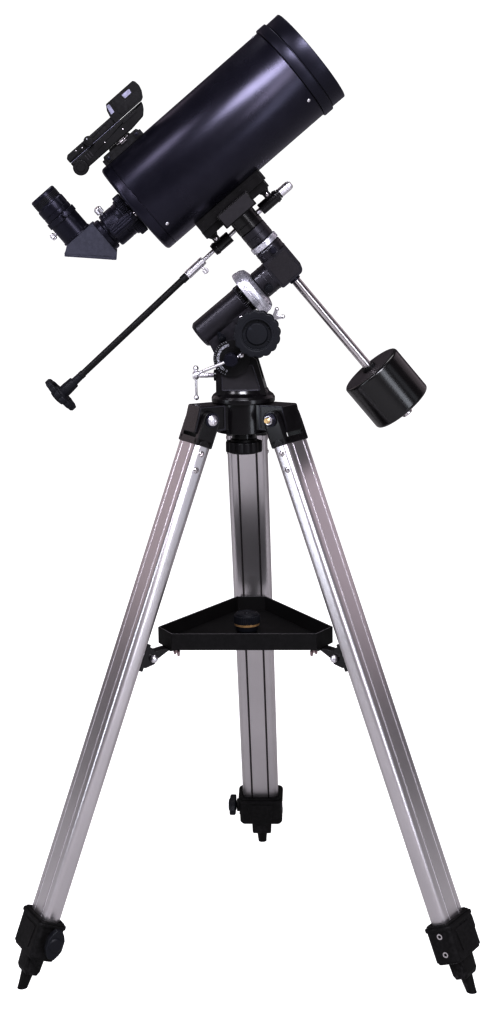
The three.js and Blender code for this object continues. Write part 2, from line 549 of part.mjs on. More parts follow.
// ---------------------------------------------------------------- optical tube
{
  piece(tube, 'tube_plate', build([box(-45, 46.7, -20, 20, -66.5, -50)], [cylX(TUBE_R + GAP, -60, 60, 96)]), 'mount_black');

  piece(tube, 'tube_body', latheX([
    [TUBE_R - 1.8, TUBE_REAR], [TUBE_R, TUBE_REAR], [TUBE_R, TUBE_FRONT], [TUBE_R - 1.8, TUBE_FRONT]], 80), 'tube_black');

  piece(tube, 'front_cell', latheX([
    [51.8, 128], [54.3, 128], [54.3, 140.8], [58.8, 140.8], [58.8, 152.4], [55.2, 152.4], [55.2, 153.5],
    [TUBE_R, 153.5], [TUBE_R, FRONT_RIM], [53.2, FRONT_RIM], [51.8, 161.2], [49.4, 161.2], [49.4, 158.6], [51.8, 158.6]], 80), 'satin_black');
  const lens = [];
  const sag = (r, R) => R - Math.sqrt(R * R - r * r);
  for (let i = 0; i <= 4; i++) { const r = APERTURE_R * i / 4; lens.push([r, 139.6 + sag(r, 152)]); }
  for (let i = 4; i >= 0; i--) { const r = APERTURE_R * i / 4; lens.push([r, 149.2 + sag(r, 148)]); }
  piece(tube, 'corrector_lens', latheX(lens, 64), 'glass');

  piece(tube, 'rear_cell', build([
    latheX([[0, REAR_END], [TUBE_R - 8, REAR_END], [TUBE_R - 2.4, REAR_END + 2.4], [TUBE_R, REAR_END + 8], [TUBE_R, -73.9], [54.3, -73.9], [54.3, -62], [51.6, -62], [51.6, -78.5], [0, -78.5]], 80),
  ], [
    cylX(20.4, -100, -60, 48),
    cylX(3.4, -100, -60, 20).translate(0, -34, -1.5),
  ]), 'satin_black');

  const baffle = [[12.2, 38], [11.2, 38], [11.2, -71], [50.8, -71], [50.8, -58.8]];
  for (let i = 2; i >= 0; i--) { const r = 14 + (50.8 - 14) * i / 3; baffle.push([r, -62.4 + 3.4 * (r / 50.8) ** 2]); }
  piece(tube, 'primary_mirror', latheX([...baffle, [12.2, -62.2]].reverse(), 48), 'mirror');

  piece(tube, 'visual_back', latheX([
    [16.2, -78], [20.0, -78], [20.0, -86.4], [24.6, -86.4], [25.6, -88.4], [25.6, -96.8], [20.4, -98.4],
    [20.4, -120.4], [19.2, -121.4], [16.2, -121.4]].reverse(), 56), 'satin_black');

  piece(tube, 'focus_knob', build([
    cylX(7.2, -118.8, -88.0, 32),
    cylX(3.0, -89, -76.5, 20),
    cylX(6.2, -120.2, -118.7, 32, 7.2),
  ]).translate(0, -34, -1.5), 'satin_black');

  // star diagonal: prism housing, nose and eyepiece holder
  const prism = [[-130, 20.4], [-167.2, 20.4], [-177.2, 13.4], [-136.2, -27.0], [-130, -20.8]];
  piece(tube, 'diagonal_body', build([
    slab(prism, -21, 21),
    cylX(15.85, -131, -101, 40),
    cylX(19.0, -130.5, -124, 40),
    cylZ(16.8, 19, 43.3, 40).translate(-152.2, 0, 0),
    cylZ(18.1, 43.2, 50, 40).translate(-152.2, 0, 0),
  ], [
    cylZ(15.9, 6, 60, 40).translate(-152.2, 0, 0),
    cylX(12.5, -145, -90, 32),
  ]), 'prism_grey');
  piece(tube, 'eyepiece', build([
    lathe([[0, 10], [EYEPIECE_R, 10], [EYEPIECE_R, 50.4], [16.7, 50.4], [16.7, 65.6], [15.6, 66.6], [15.6, 78.6], [14.6, 79.6],
      [10.5, 79.6], [8.5, 76.4], [0, 76.0]], 44),
  ]).translate(-152.2, 0, 0), 'satin_black');

  // red-dot finder: shoe, body with a hooded window frame, knob
  piece(tube, 'finder_base', build([
    box(-78, -23.8, -9, 9, 50, 62.5),
    box(-66, -34, -7, 7, 62, 67.9),
  ], [cylX(TUBE_R + GAP, -90, 0, 96)]), 'satin_black');
  const side = [[-105.4, 70.5], [-103, 68.2], [-30, 68.2], [-12, 70.5], [-6.8, 75.7], [-3.5, 80], [-2, 86], [1.5, 98], [5.6, 106.4], [-34.5, 106.4], [-37.5, 100], [-38.5, 92.8], [-102, 92.8], [-105.4, 90]];
  piece(tube, 'finder_body', build([
    slab(side, -15, 15),
    cylY(8.4, -17.5, -10, 28).translate(-97, 0, 76.8),
  ], [
    box(-60, 20, -11.5, 11.5, 82.5, 103.4),
    box(-28, -8, -30, 30, 86, 100.5),
  ]), 'satin_black');
  piece(tube, 'finder_knob', cylY(5.6, -21, -15.3, 28).translate(-74.4, 0, 89.2), 'satin_black');
}

telescope.updateMatrixWorld(true);
export default telescope;
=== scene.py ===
import bpy
import bmesh
import math
from mathutils import Matrix, Vector, geometry

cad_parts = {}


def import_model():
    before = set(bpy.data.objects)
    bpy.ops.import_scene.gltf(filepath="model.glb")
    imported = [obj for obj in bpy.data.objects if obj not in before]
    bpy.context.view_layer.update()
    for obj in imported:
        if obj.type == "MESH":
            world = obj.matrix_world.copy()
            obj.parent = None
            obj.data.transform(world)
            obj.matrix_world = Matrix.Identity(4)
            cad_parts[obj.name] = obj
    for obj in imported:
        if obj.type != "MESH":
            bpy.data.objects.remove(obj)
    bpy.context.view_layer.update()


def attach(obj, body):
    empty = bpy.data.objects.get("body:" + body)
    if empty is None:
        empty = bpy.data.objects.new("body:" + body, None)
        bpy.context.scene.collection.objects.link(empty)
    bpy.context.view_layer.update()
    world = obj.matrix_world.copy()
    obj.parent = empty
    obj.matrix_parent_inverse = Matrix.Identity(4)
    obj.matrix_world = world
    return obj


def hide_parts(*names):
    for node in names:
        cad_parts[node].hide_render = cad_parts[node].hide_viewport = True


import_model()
D = math.pi / 180
SCENE = bpy.context.scene
I4 = Matrix.Identity(4)


# ------------------------------------------------------------------ frames, millimetres
def sub(parent, p=(0, 0, 0), angle=0.0, axis="Z"):
    return parent @ Matrix.Translation(p) @ Matrix.Rotation(angle * D, 4, axis)


TRI = Matrix.Translation((0, -63.04, 0))
AZM = sub(TRI, (0, 0, 0), 0.47, "Z")
PIVOT = (-11.16, 0, 701.93)
ALT = sub(AZM, PIVOT, -39.31, "Y")
OX, OZ = 109.3, 40.97
POL = sub(ALT, (OX, 0, OZ), 5.685, "X")
DEC = sub(POL, (0, 0, 0), 3.644, "Z")
TUB = sub(DEC, (0, 0, 154.77))
SLOW = sub(TUB, (-49, 22, -93.0), -2.4, "Y")
LEGAZ = {"rear": 90, "left": 210, "right": 330}
TURNED = {k: sub(TRI, (0, 0, 0), a, "Z") for k, a in LEGAZ.items()}
LEG = {k: sub(TURNED[k], (51.27, 0, 634.93), -20.9, "Y") for k in LEGAZ}


def metres(m):
    out = m.copy()
    out.translation = m.translation * 0.001
    return out


# ------------------------------------------------------------------ outlines
def arc(cx, cy, r, a0, a1, n):
    return [(cx + r * math.cos((a0 + (a1 - a0) * i / n) * D), cy + r * math.sin((a0 + (a1 - a0) * i / n) * D)) for i in range(n + 1)]


def circle(r, n=48, cx=0, cy=0):
    return [(cx + r * math.cos(2 * math.pi * i / n), cy + r * math.sin(2 * math.pi * i / n)) for i in range(n)]


def rect(x0, x1, y0, y1):
    return [(x0, y0), (x1, y0), (x1, y1), (x0, y1)]


def area(p):
    return 0.5 * sum(p[i - 1][0] * p[i][1] - p[i][0] * p[i - 1][1] for i in range(len(p)))


def fillet(poly, r, n=4, keep_axis=False):
    out, count = [], len(poly)
    for i, q in enumerate(poly):
        rr = r[i] if isinstance(r, (list, tuple)) else r
        b, a, c = Vector(q), Vector(poly[i - 1]), Vector(poly[(i + 1) % count])
        u, v = a - b, c - b
        lu, lv = u.length, v.length
        if rr <= 0 or lu < 1e-6 or lv < 1e-6 or (keep_axis and abs(q[0]) < 1e-6):
            out.append((b.x, b.y))
            continue
        u.normalize()
        v.normalize()
        ang = math.acos(max(-1, min(1, u.dot(v))))
        if ang > math.pi - 0.06:
            out.append((b.x, b.y))
            continue
        t = min(rr / math.tan(ang / 2), lu * 0.49, lv * 0.49)
        rad = t * math.tan(ang / 2)
        cen = b + (u + v).normalized() * (rad / math.sin(ang / 2))
        s, e = b + u * t, b + v * t
        a0, a1 = math.atan2(s.y - cen.y, s.x - cen.x), math.atan2(e.y - cen.y, e.x - cen.x)
        d = (a1 - a0 + math.pi) % (2 * math.pi) - math.pi
        for k in range(n + 1):
            w = a0 + d * k / n
            out.append((cen.x + rad * math.cos(w), cen.y + rad * math.sin(w)))
    return out


def inset(poly, d):
    out, count = [], len(poly)
    for i in range(count):
        p0, p1, p2 = Vector(poly[i - 1]), Vector(poly[i]), Vector(poly[(i + 1) % count])
        e1, e2 = (p1 - p0), (p2 - p1)
        if e1.length < 1e-9 or e2.length < 1e-9:
            out.append((p1.x, p1.y))
            continue
        e1.normalize()
        e2.normalize()
        n1, n2 = Vector((-e1.y, e1.x)), Vector((-e2.y, e2.x))
        k = d / max(0.25, 1 + n1.dot(n2))
        q = p1 + (n1 + n2) * k
        out.append((q.x, q.y))
    return out


def lobes(r0, r1, n, per=8, power=0.5, phase=0.0):
    out = []
    for i in range(n * per):
        a = 2 * math.pi * i / (n * per)
        w = 0.5 - 0.5 * math.cos(n * (a - phase))
        out.append(((r0 + (r1 - r0) * w ** power) * math.cos(a), (r0 + (r1 - r0) * w ** power) * math.sin(a)))
    return out


def hexagon(r, n=6, start=0.0):
    return [(r * math.cos(start * D + 2 * math.pi * i / n), r * math.sin(start * D + 2 * math.pi * i / n)) for i in range(n)]


# ------------------------------------------------------------------ solids: (corners, faces, material index)
PLANE = {"XY": lambda a, b, w: (a, b, w), "XZ": lambda a, b, w: (a, w, b), "YZ": lambda a, b, w: (w, a, b)}
ALONG = {"Z": lambda a, b, w: (a, b, w), "X": lambda a, b, w: (w, a, b), "Y": lambda a, b, w: (b, w, a)}


def prism(outline, w0, w1, bev=0.4, holes=(), plane="XY", steps=2, at=(0, 0, 0), m=0):
    """Outline carried from w0 to w1, its rims rounded by bev."""
    put = PLANE[plane]
    loops = [list(outline) if area(outline) > 0 else list(outline)[::-1]]
    for h in holes:
        loops.append(list(h) if area(h) < 0 else list(h)[::-1])
    bev = min(bev, abs(w1 - w0) * 0.45)
    rings = []
    if bev > 0:
        for k in range(steps + 1):
            t = math.pi / 2 * k / steps
            rings.append((bev * (1 - math.sin(t)), w0 + bev * (1 - math.cos(t))))
        for k in range(steps, -1, -1):
            t = math.pi / 2 * k / steps
            rings.append((bev * (1 - math.sin(t)), w1 - bev * (1 - math.cos(t))))
    else:
        rings = [(0, w0), (0, w1)]
    verts, faces = [], []
    first, last = [], []
    for loop in loops:
        n = len(loop)
        base = len(verts)
        for d, w in rings:
            for q in (inset(loop, d) if d > 1e-9 else loop):
                verts.append(tuple(Vector(put(q[0], q[1], w)) + Vector(at)))
        for k in range(len(rings) - 1):
            for i in range(n):
                j = (i + 1) % n
                faces.append((base + k * n + i, base + k * n + j, base + (k + 1) * n + j, base + (k + 1) * n + i))
        first.append([base + i for i in range(n)])
        last.append([base + (len(rings) - 1) * n + i for i in range(n)])
    if len(loops) == 1:
        faces.append(tuple(first[0][::-1]))
        faces.append(tuple(last[0]))
    else:
        flat = [inset(lp, rings[0][0]) if rings[0][0] > 1e-9 else lp for lp in loops]
        tri = geometry.tessellate_polygon([[Vector((q[0], q[1], 0)) for q in lp] for lp in flat])
        lo = [i for lp in first for i in lp]
        hi = [i for lp in last for i in lp]
        for t in tri:
            faces.append((lo[t[2]], lo[t[1]], lo[t[0]]))
            faces.append((hi[t[0]], hi[t[1]], hi[t[2]]))
    return verts, faces, m


def rev(profile, seg=64, axis="Z", f=0.4, n=3, at=(0, 0, 0), m=0, squeeze=None):
    """Closed profile of (radius, height) turned about an axis, its corners rounded by f."""
    put = ALONG[axis]
    pts = fillet([(max(0.0, r), h) for r, h in profile], f, n, True) if (isinstance(f, list) or f > 0) else list(profile)
    verts, faces, rows = [], [], []
    for r, h in pts:
        if r < 1e-6:
            rows.append([len(verts)])
            verts.append(tuple(Vector(put(0, 0, h)) + Vector(at)))
        else:
            rows.append(list(range(len(verts), len(verts) + seg)))
            for i in range(seg):
                a = 2 * math.pi * i / seg
                verts.append(tuple(Vector(put(r * math.cos(a), r * math.sin(a), h)) + Vector(at)))
    for k in range(len(rows)):
        a, b = rows[k], rows[(k + 1) % len(rows)]
        if len(a) == 1 and len(b) == 1:
            continue
        for i in range(seg):
            j = (i + 1) % seg
            if len(a) == 1:
                faces.append((a[0], b[j], b[i]))
            elif len(b) == 1:
                faces.append((a[i], a[j], b[0]))
            else:
                faces.append((a[i], a[j], b[j], b[i]))
    return verts, faces, m


def rod(r, w0, w1, axis="Z", seg=32, f=0.3, at=(0, 0, 0), m=0):
    return rev([(0, w0), (r, w0), (r, w1), (0, w1)], seg, axis, f, 2, at, m)


def pipe(r0, r1, w0, w1, axis="Z", seg=64, f=0.3, at=(0, 0, 0), m=0):
    return rev([(r0, w0), (r1, w0), (r1, w1), (r0, w1)], seg, axis, f, 2, at, m)


def ball(r, at=(0, 0, 0), seg=28, m=0):
    pts = [(r * math.sin(t * math.pi / 14), -r * math.cos(t * math.pi / 14)) for t in range(15)]
    pts[0], pts[-1] = (0, -r), (0, r)
    return rev(pts, seg, "Z", 0, 1, at, m)


def block(x0, x1, y0, y1, z0, z1, r=0.8, bev=0.5, m=0):
    return prism(fillet(rect(x0, x1, y0, y1), r, 3), z0, z1, bev, m=m)


def moved(shell, mat):
    return [tuple(mat @ Vector(v)) for v in shell[0]], shell[1], shell[2]


def painted(shell, m):
    return shell[0], shell[1], m


def to_mesh(name, shells, scale=0.001, clean=False):
    me = bpy.data.meshes.new(name)
    bm = bmesh.new()
    for vs, fs, m in shells:
        bv = [bm.verts.new(Vector(v) * scale) for v in vs]
        for f in fs:
            if len(set(f)) < 3:
                continue
            try:
                face = bm.faces.new([bv[i] for i in f])
            except ValueError:
                continue
            face.material_index = m
            face.smooth = True
    bmesh.ops.recalc_face_normals(bm, faces=bm.faces)
    if clean:
        bmesh.ops.dissolve_degenerate(bm, edges=bm.edges, dist=1e-7)
    bm.to_mesh(me)
    bm.free()
    return me


def joined_cut(add, cut, m=0, bevel=0.0, segments=2, angle=32):
    """The first list joined, the second cut from it, edges rounded; corners in millimetres."""
    made = []

    def obj(tag, shells):
        o = bpy.data.objects.new(tag, to_mesh(tag, shells))
        SCENE.collection.objects.link(o)
        made.append(o)
        return o

    base = obj("work", [painted(add[0], 0)])
    for k, s in enumerate(add[1:] + cut):
        mod = base.modifiers.new("b%d" % k, "BOOLEAN")
        mod.operation = "UNION" if k < len(add) - 1 else "DIFFERENCE"
        mod.solver = "EXACT"
        mod.object = obj("tool", [painted(s, 0)])
    if bevel:
        mod = base.modifiers.new("round", "BEVEL")
        mod.width = bevel * 0.001
        mod.segments = segments
        mod.limit_method = "ANGLE"
        mod.angle_limit = angle * D
        mod.use_clamp_overlap = True
    bpy.context.view_layer.update()
    res = bpy.data.meshes.new_from_object(base.evaluated_get(bpy.context.evaluated_depsgraph_get()))
    vs = [tuple(v.co * 1000) for v in res.vertices]
    fs = [tuple(p.vertices) for p in res.polygons]
    for o in made:
        data = o.data
        bpy.data.objects.remove(o)
        bpy.data.meshes.remove(data)
    bpy.data.meshes.remove(res)
    return vs, fs, m


_glyphs = {}


def glyph(text, size, depth=0.06):
    """Flat figures in the XY plane, centred, facing +Z."""
    key = (text, size, depth)
    if key not in _glyphs:
        cu = bpy.data.curves.new("glyph", "FONT")
        cu.body = text
        cu.size = size * 0.001
        cu.extrude = depth * 0.001
        cu.resolution_u = 2
        cu.align_x, cu.align_y = "CENTER", "CENTER"
        o = bpy.data.objects.new("glyph", cu)
        SCENE.collection.objects.link(o)
        bpy.context.view_layer.update()
        res = bpy.data.meshes.new_from_object(o.evaluated_get(bpy.context.evaluated_depsgraph_get()))
        _glyphs[key] = ([tuple(v.co * 1000) for v in res.vertices], [tuple(p.vertices) for p in res.polygons], 0)
        bpy.data.objects.remove(o)
        bpy.data.curves.remove(cu)
        bpy.data.meshes.remove(res)
    return _glyphs[key]


# ------------------------------------------------------------------ materials
def lin(c):
    return tuple(((v / 255) / 12.92 if v / 255 <= 0.04045 else ((v / 255 + 0.055) / 1.055) ** 2.4) for v in c)


MAT = {}


def finish(name, rgb, rough, metal=0.0, coat=0.0, coat_rough=0.12, spec=0.5, var=0.18, vscale=45, rvar=0.06, bump=0.08,
           bscale=900, stretch=(1, 1, 1), edge_wear_and_highlight=0.0, edge_wear_and_highlight_rgb=(0.3, 0.3, 0.3), depth=0.00012, tint=None):
    """Node finish: colour and roughness drift, surface grain or brushing, and lighter convex edges that are partly
    rubbing and partly a painted edge highlight.
    """
    mat = bpy.data.materials.new(name)
    mat.use_nodes = True
    nt = mat.node_tree
    nt.nodes.clear()
    out = nt.nodes.new("ShaderNodeOutputMaterial")
    bs = nt.nodes.new("ShaderNodeBsdfPrincipled")
    nt.links.new(bs.outputs[0], out.inputs[0])
    bs.inputs["Metallic"].default_value = metal
    bs.inputs["Coat Weight"].default_value = coat
    bs.inputs["Coat Roughness"].default_value = coat_rough
    bs.inputs["Specular IOR Level"].default_value = spec
    tc = nt.nodes.new("ShaderNodeTexCoord")
    mp = nt.nodes.new("ShaderNodeMapping")
    mp.inputs["Scale"].default_value = stretch
    nt.links.new(tc.outputs["Object"], mp.inputs[0])

    def noise(scale, detail, src):
        n = nt.nodes.new("ShaderNodeTexNoise")
        n.inputs["Scale"].default_value = scale
        n.inputs["Detail"].default_value = detail
        n.inputs["Roughness"].default_value = 0.6
        nt.links.new(src, n.inputs["Vector"])
        return n.outputs["Fac"]

    def remap(src, a, b, c, d):
        n = nt.nodes.new("ShaderNodeMapRange")
        for k, v in zip(("From Min", "From Max", "To Min", "To Max"), (a, b, c, d)):
            n.inputs[k].default_value = v
        nt.links.new(src, n.inputs["Value"])
        return n.outputs[0]

    drift = noise(vscale, 5, tc.outputs["Object"])
    mix = nt.nodes.new("ShaderNodeMix")
    mix.data_type = "RGBA"
    mix.inputs["A"].default_value = (*[max(0, c * (1 - var)) for c in rgb], 1)
    mix.inputs["B"].default_value = (*[min(1, c * (1 + var)) for c in rgb], 1)
    nt.links.new(remap(drift, 0.3, 0.7, 0, 1), mix.inputs["Factor"])
    colour = mix.outputs["Result"]
    grain = noise(bscale, 3, mp.outputs[0])
    smudge = noise(vscale * 0.6, 3, mp.outputs[0])
    ro = remap(smudge, 0.3, 0.7, max(0.02, rough - rvar), min(1, rough + rvar))
    # lighter colour on convex edges (pointiness), broken up by noise: partly rubbed wear, partly a painted edge
    # highlight
    if edge_wear_and_highlight > 0:
        geo = nt.nodes.new("ShaderNodeNewGeometry")
        edge = remap(geo.outputs["Pointiness"], 0.53, 0.6, 0, edge_wear_and_highlight)
        edge_wear_and_highlight_mask = nt.nodes.new("ShaderNodeMath")
        edge_wear_and_highlight_mask.operation = "MULTIPLY"
        nt.links.new(edge, edge_wear_and_highlight_mask.inputs[0])
        nt.links.new(remap(noise(vscale * 4, 4, tc.outputs["Object"]), 0.42, 0.62, 0, 1), edge_wear_and_highlight_mask.inputs[1])
        mx = nt.nodes.new("ShaderNodeMix")
        mx.data_type = "RGBA"
        nt.links.new(edge_wear_and_highlight_mask.outputs[0], mx.inputs["Factor"])
        nt.links.new(colour, mx.inputs["A"])
        mx.inputs["B"].default_value = (*edge_wear_and_highlight_rgb, 1)
        colour = mx.outputs["Result"]
    nt.links.new(colour, bs.inputs["Base Color"])
    nt.links.new(ro, bs.inputs["Roughness"])
    bp = nt.nodes.new("ShaderNodeBump")
    bp.inputs["Strength"].default_value = bump
    bp.inputs["Distance"].default_value = depth
    nt.links.new(grain, bp.inputs["Height"])
    nt.links.new(bp.outputs[0], bs.inputs["Normal"])
    if tint:
        bs.inputs["Specular Tint"].default_value = (*tint, 1)
    MAT[name] = mat
    return mat


# satin metallic lacquer of the tube, enamel of the castings, mouldings, bare metals
finish("lacquer_satin", (0.0060, 0.0056, 0.0110), 0.28, metal=0.3, coat=0.05, coat_rough=0.4, spec=0.5, tint=(0.80, 0.76, 1.0), var=0.08, vscale=14, rvar=0.025, bump=0.12, bscale=2600, depth=0.00006, edge_wear_and_highlight=0.10, edge_wear_and_highlight_rgb=(0.16, 0.16, 0.19))
finish("anodised_black", (0.0085, 0.0082, 0.0140), 0.34, metal=0.4, spec=0.45, tint=(0.82, 0.80, 1.0), var=0.12, vscale=20, rvar=0.04, bump=0.10, bscale=1800, edge_wear_and_highlight=0.25, edge_wear_and_highlight_rgb=(0.14, 0.14, 0.17))
finish("enamel_black", (0.0042, 0.0034, 0.0044), 0.27, coat=0.30, coat_rough=0.12, spec=0.32, var=0.2, vscale=30, rvar=0.04, bump=0.14, bscale=900, depth=0.00010, edge_wear_and_highlight=0.08, edge_wear_and_highlight_rgb=(0.09, 0.085, 0.095))
finish("enamel_satin", (0.0055, 0.0047, 0.0062), 0.40, spec=0.55, coat=0.10, coat_rough=0.2, var=0.15, vscale=40, rvar=0.04, bump=0.15, bscale=1500, depth=0.00008, edge_wear_and_highlight=0.06, edge_wear_and_highlight_rgb=(0.12, 0.11, 0.13), tint=(0.88, 0.85, 1.0))
finish("enamel_panel", (0.0105, 0.0085, 0.0115), 0.5, spec=0.34, var=0.14, vscale=60, rvar=0.05, bump=0.3, bscale=2400, depth=0.0001, edge_wear_and_highlight=0.05, edge_wear_and_highlight_rgb=(0.12, 0.11, 0.13))
finish("moulded_black", (0.0040, 0.0034, 0.0044), 0.44, spec=0.26, var=0.2, vscale=70, rvar=0.06, bump=0.3, bscale=2200, depth=0.0001, edge_wear_and_highlight=0.25, edge_wear_and_highlight_rgb=(0.07, 0.07, 0.08))
finish("moulded_matte", (0.0034, 0.0029, 0.0033), 0.6, spec=0.18, var=0.2, vscale=60, rvar=0.06, bump=0.5, bscale=2600, depth=0.0001, edge_wear_and_highlight=0.3, edge_wear_and_highlight_rgb=(0.06, 0.055, 0.06))
finish("knob_navy", (0.0052, 0.0056, 0.0090), 0.5, spec=0.26, var=0.18, vscale=60, rvar=0.06, bump=0.45, bscale=2400, depth=0.0001, edge_wear_and_highlight=0.25, edge_wear_and_highlight_rgb=(0.06, 0.065, 0.085))
finish("prism_grey", (0.026, 0.026, 0.040), 0.62, spec=0.35, var=0.14, vscale=50, rvar=0.05, bump=0.6, bscale=3000, depth=0.0001, edge_wear_and_highlight=0.3, edge_wear_and_highlight_rgb=(0.10, 0.10, 0.13))
finish("rubber_black", (0.006, 0.0055, 0.006), 0.8, spec=0.3, var=0.2, vscale=80, rvar=0.05, bump=0.5, bscale=1500, depth=0.0002, edge_wear_and_highlight=0.2, edge_wear_and_highlight_rgb=(0.05, 0.05, 0.05))
finish("anodised_silver", (0.52, 0.495, 0.505), 0.32, metal=0.92, var=0.045, vscale=9, rvar=0.03, bump=0.35, bscale=900, stretch=(1, 1, 0.015), depth=0.00005)
finish("cast_satin", (0.60, 0.59, 0.64), 0.34, metal=0.85, var=0.06, vscale=60, rvar=0.05, bump=0.15, bscale=1600, depth=0.00006, edge_wear_and_highlight=0.0, edge_wear_and_highlight_rgb=(0.8, 0.8, 0.82))
finish("chrome_plate", (0.70, 0.68, 0.71), 0.34, metal=1.0, var=0.04, vscale=60, rvar=0.03, bump=0.01, bscale=500)
finish("steel_turned", (0.52, 0.49, 0.50), 0.22, metal=1.0, var=0.05, vscale=30, rvar=0.04, bump=0.03, bscale=500, stretch=(0.03, 0.03, 1), depth=0.00003)
finish("brass_plate", (0.50, 0.36, 0.20), 0.28, metal=1.0, var=0.15, vscale=120, rvar=0.06, bump=0.12, bscale=900)
finish("bronze_wheel", (0.34, 0.26, 0.27), 0.34, metal=1.0, var=0.15, vscale=120, rvar=0.06, bump=0.2, bscale=1400)
finish("iron_enamel", (0.0030, 0.0024, 0.0029), 0.25, spec=0.45, coat=0.3, coat_rough=0.14, var=0.2, vscale=30, rvar=0.04, bump=0.16, bscale=380, depth=0.0003, edge_wear_and_highlight=0.25, edge_wear_and_highlight_rgb=(0.05, 0.045, 0.05))
finish("iron_face", (0.022, 0.018, 0.021), 0.55, metal=0.2, var=0.12, vscale=50, rvar=0.05, bump=0.4, bscale=1400, depth=0.0001)
finish("ink_white", (0.42, 0.42, 0.46), 0.6, var=0.1, vscale=400, rvar=0.05, bump=0.1, bscale=2000)
finish("ink_dark", (0.03, 0.03, 0.04), 0.6, var=0.15, vscale=400, rvar=0.05, bump=0.1, bscale=2000)
finish("ink_gold", (0.52, 0.33, 0.16), 0.4, metal=0.7, var=0.2, vscale=300, rvar=0.06, bump=0.15, bscale=2000)
finish("mirror_coat", (0.86, 0.88, 0.90), 0.03, metal=1.0, var=0.02, vscale=30, rvar=0.01, bump=0.0, bscale=900)
# pale colour for painted reflections on the finder hood and a painted highlight along the finder seam
finish("pale_painted_reflection", (0.20, 0.195, 0.26), 0.35, spec=0.6, var=0.35, vscale=160, rvar=0.05, bump=0.05, bscale=900)
# lighter grey for the top rim of the tray: partly wear, partly a painted highlight along the edge
finish("rim_wear_and_painted_highlight", (0.085, 0.080, 0.085), 0.4, spec=0.5, var=0.3, vscale=120, rvar=0.05, bump=0.05, bscale=900)
# upper leg groove strips: a light one painted as a highlight line, a dark one painted as shade in the groove
finish("painted_highlight_strip", (0.86, 0.84, 0.86), 0.45, metal=0.8, var=0.05, vscale=40, rvar=0.04, bump=0.05, bscale=500)
finish("painted_shade_strip", (0.05, 0.042, 0.045), 0.5, metal=0.6, var=0.15, vscale=40, rvar=0.04, bump=0.05, bscale=500)


def glass(name, rgb, coat_tint, rough=0.02):
    mat = bpy.data.materials.new(name)
    mat.use_nodes = True
    nt = mat.node_tree
    bs = nt.nodes["Principled BSDF"]
    bs.inputs["Transmission Weight"].default_value = 1.0
    bs.inputs["IOR"].default_value = 1.5
    bs.inputs["Coat Weight"].default_value = 0.6
    bs.inputs["Coat Roughness"].default_value = 0.03
    bs.inputs["Coat Tint"].default_value = (*coat_tint, 1)
    tc = nt.nodes.new("ShaderNodeTexCoord")
    n = nt.nodes.new("ShaderNodeTexNoise")
    n.inputs["Scale"].default_value = 60
    nt.links.new(tc.outputs["Object"], n.inputs["Vector"])
    r = nt.nodes.new("ShaderNodeMapRange")
    r.inputs["To Min"].default_value = rough
    r.inputs["To Max"].default_value = rough + 0.03
    nt.links.new(n.outputs["Fac"], r.inputs["Value"])
    nt.links.new(r.outputs[0], bs.inputs["Roughness"])
    mix = nt.nodes.new("ShaderNodeMix")
    mix.data_type = "RGBA"
    mix.inputs["A"].default_value = (*rgb, 1)
    mix.inputs["B"].default_value = (*[c * 0.94 for c in rgb], 1)
    nt.links.new(n.outputs["Fac"], mix.inputs["Factor"])
    nt.links.new(mix.outputs["Result"], bs.inputs["Base Color"])
    MAT[name] = mat


glass("glass_coated", (0.80, 0.92, 0.90), (0.75, 0.85, 1.0))
glass("glass_red", (0.85, 0.45, 0.42), (1.0, 0.7, 0.7))


# ------------------------------------------------------------------ pieces
def make(name, shells, at, body, mats, stands=(), sharp=32, flat=True, local=False):
    if not local:
        shells = [moved(s, at) for s in shells]
        at = I4
    me = to_mesh(name, shells)
    me.set_sharp_from_angle(angle=sharp * D)
    ob = bpy.data.objects.new(name, me)
    SCENE.collection.objects.link(ob)
    for m in ([mats] if isinstance(mats, str) else mats):
        me.materials.append(MAT[m])
    if flat:
        wn = ob.modifiers.new("normals", "WEIGHTED_NORMAL")
        wn.keep_sharp = True
        wn.weight = 60
    ob.matrix_world = metres(at)
    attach(ob, body)
    if stands:
        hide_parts(*([stands] if isinstance(stands, str) else stands))
    return ob


def dome(r, h, base=0.0, axis="Z", at=(0, 0, 0), m=0, rim=0.35):
    """Low domed screw head of radius r and height h."""
    R = (r * r + h * h) / (2 * h)
    pts = [(0, base)]
    pts.append((r, base))
    pts.append((r, base + rim * h))
    hh = h * (1 - rim)
    R = (r * r + hh * hh) / (2 * hh)
    for k in range(1, 7):
        rr = r * (1 - k / 6)
        pts.append((rr, base + rim * h + (math.sqrt(max(0, R * R - rr * rr)) - (R - hh))))
    pts[-1] = (0, base + h)
    return rev(pts, 28, axis, 0, 1, at, m)


_cross = {}


def cross_screw(r, h, m=0):
    """Domed head with a real cross recess, base on z=0, facing +Z."""
    key = (round(r, 2), round(h, 2))
    if key not in _cross:
        arm, w = r * 0.62, r * 0.17
        a = prism(rect(-arm, arm, -w, w), h * 0.42, h + 1, 0)
        b = prism(rect(-w, w, -arm, arm), h * 0.42, h + 1, 0)
        _cross[key] = joined_cut([dome(r, h)], [a, b])
    return painted(_cross[key], m)


def facing(p, n, spin=0.0):
    """Frame at p whose Z is n."""
    return Matrix.Translation(p) @ Vector(n).to_track_quat("Z", "Y").to_matrix().to_4x4() @ Matrix.Rotation(spin * D, 4, "Z")


def knurled(r, w0, w1, axis, count, depth=0.35, f=0.5, at=(0, 0, 0), m=0, seg_per=4):
    """Cylinder with straight knurling and turned ends."""
    outline = lobes(r - depth, r, count, seg_per, 1.0)
    plane = {"Z": "XY", "X": "YZ", "Y": "XZ"}[axis]
    return prism(outline, w0, w1, f, plane=plane, at=at, m=m, steps=3)


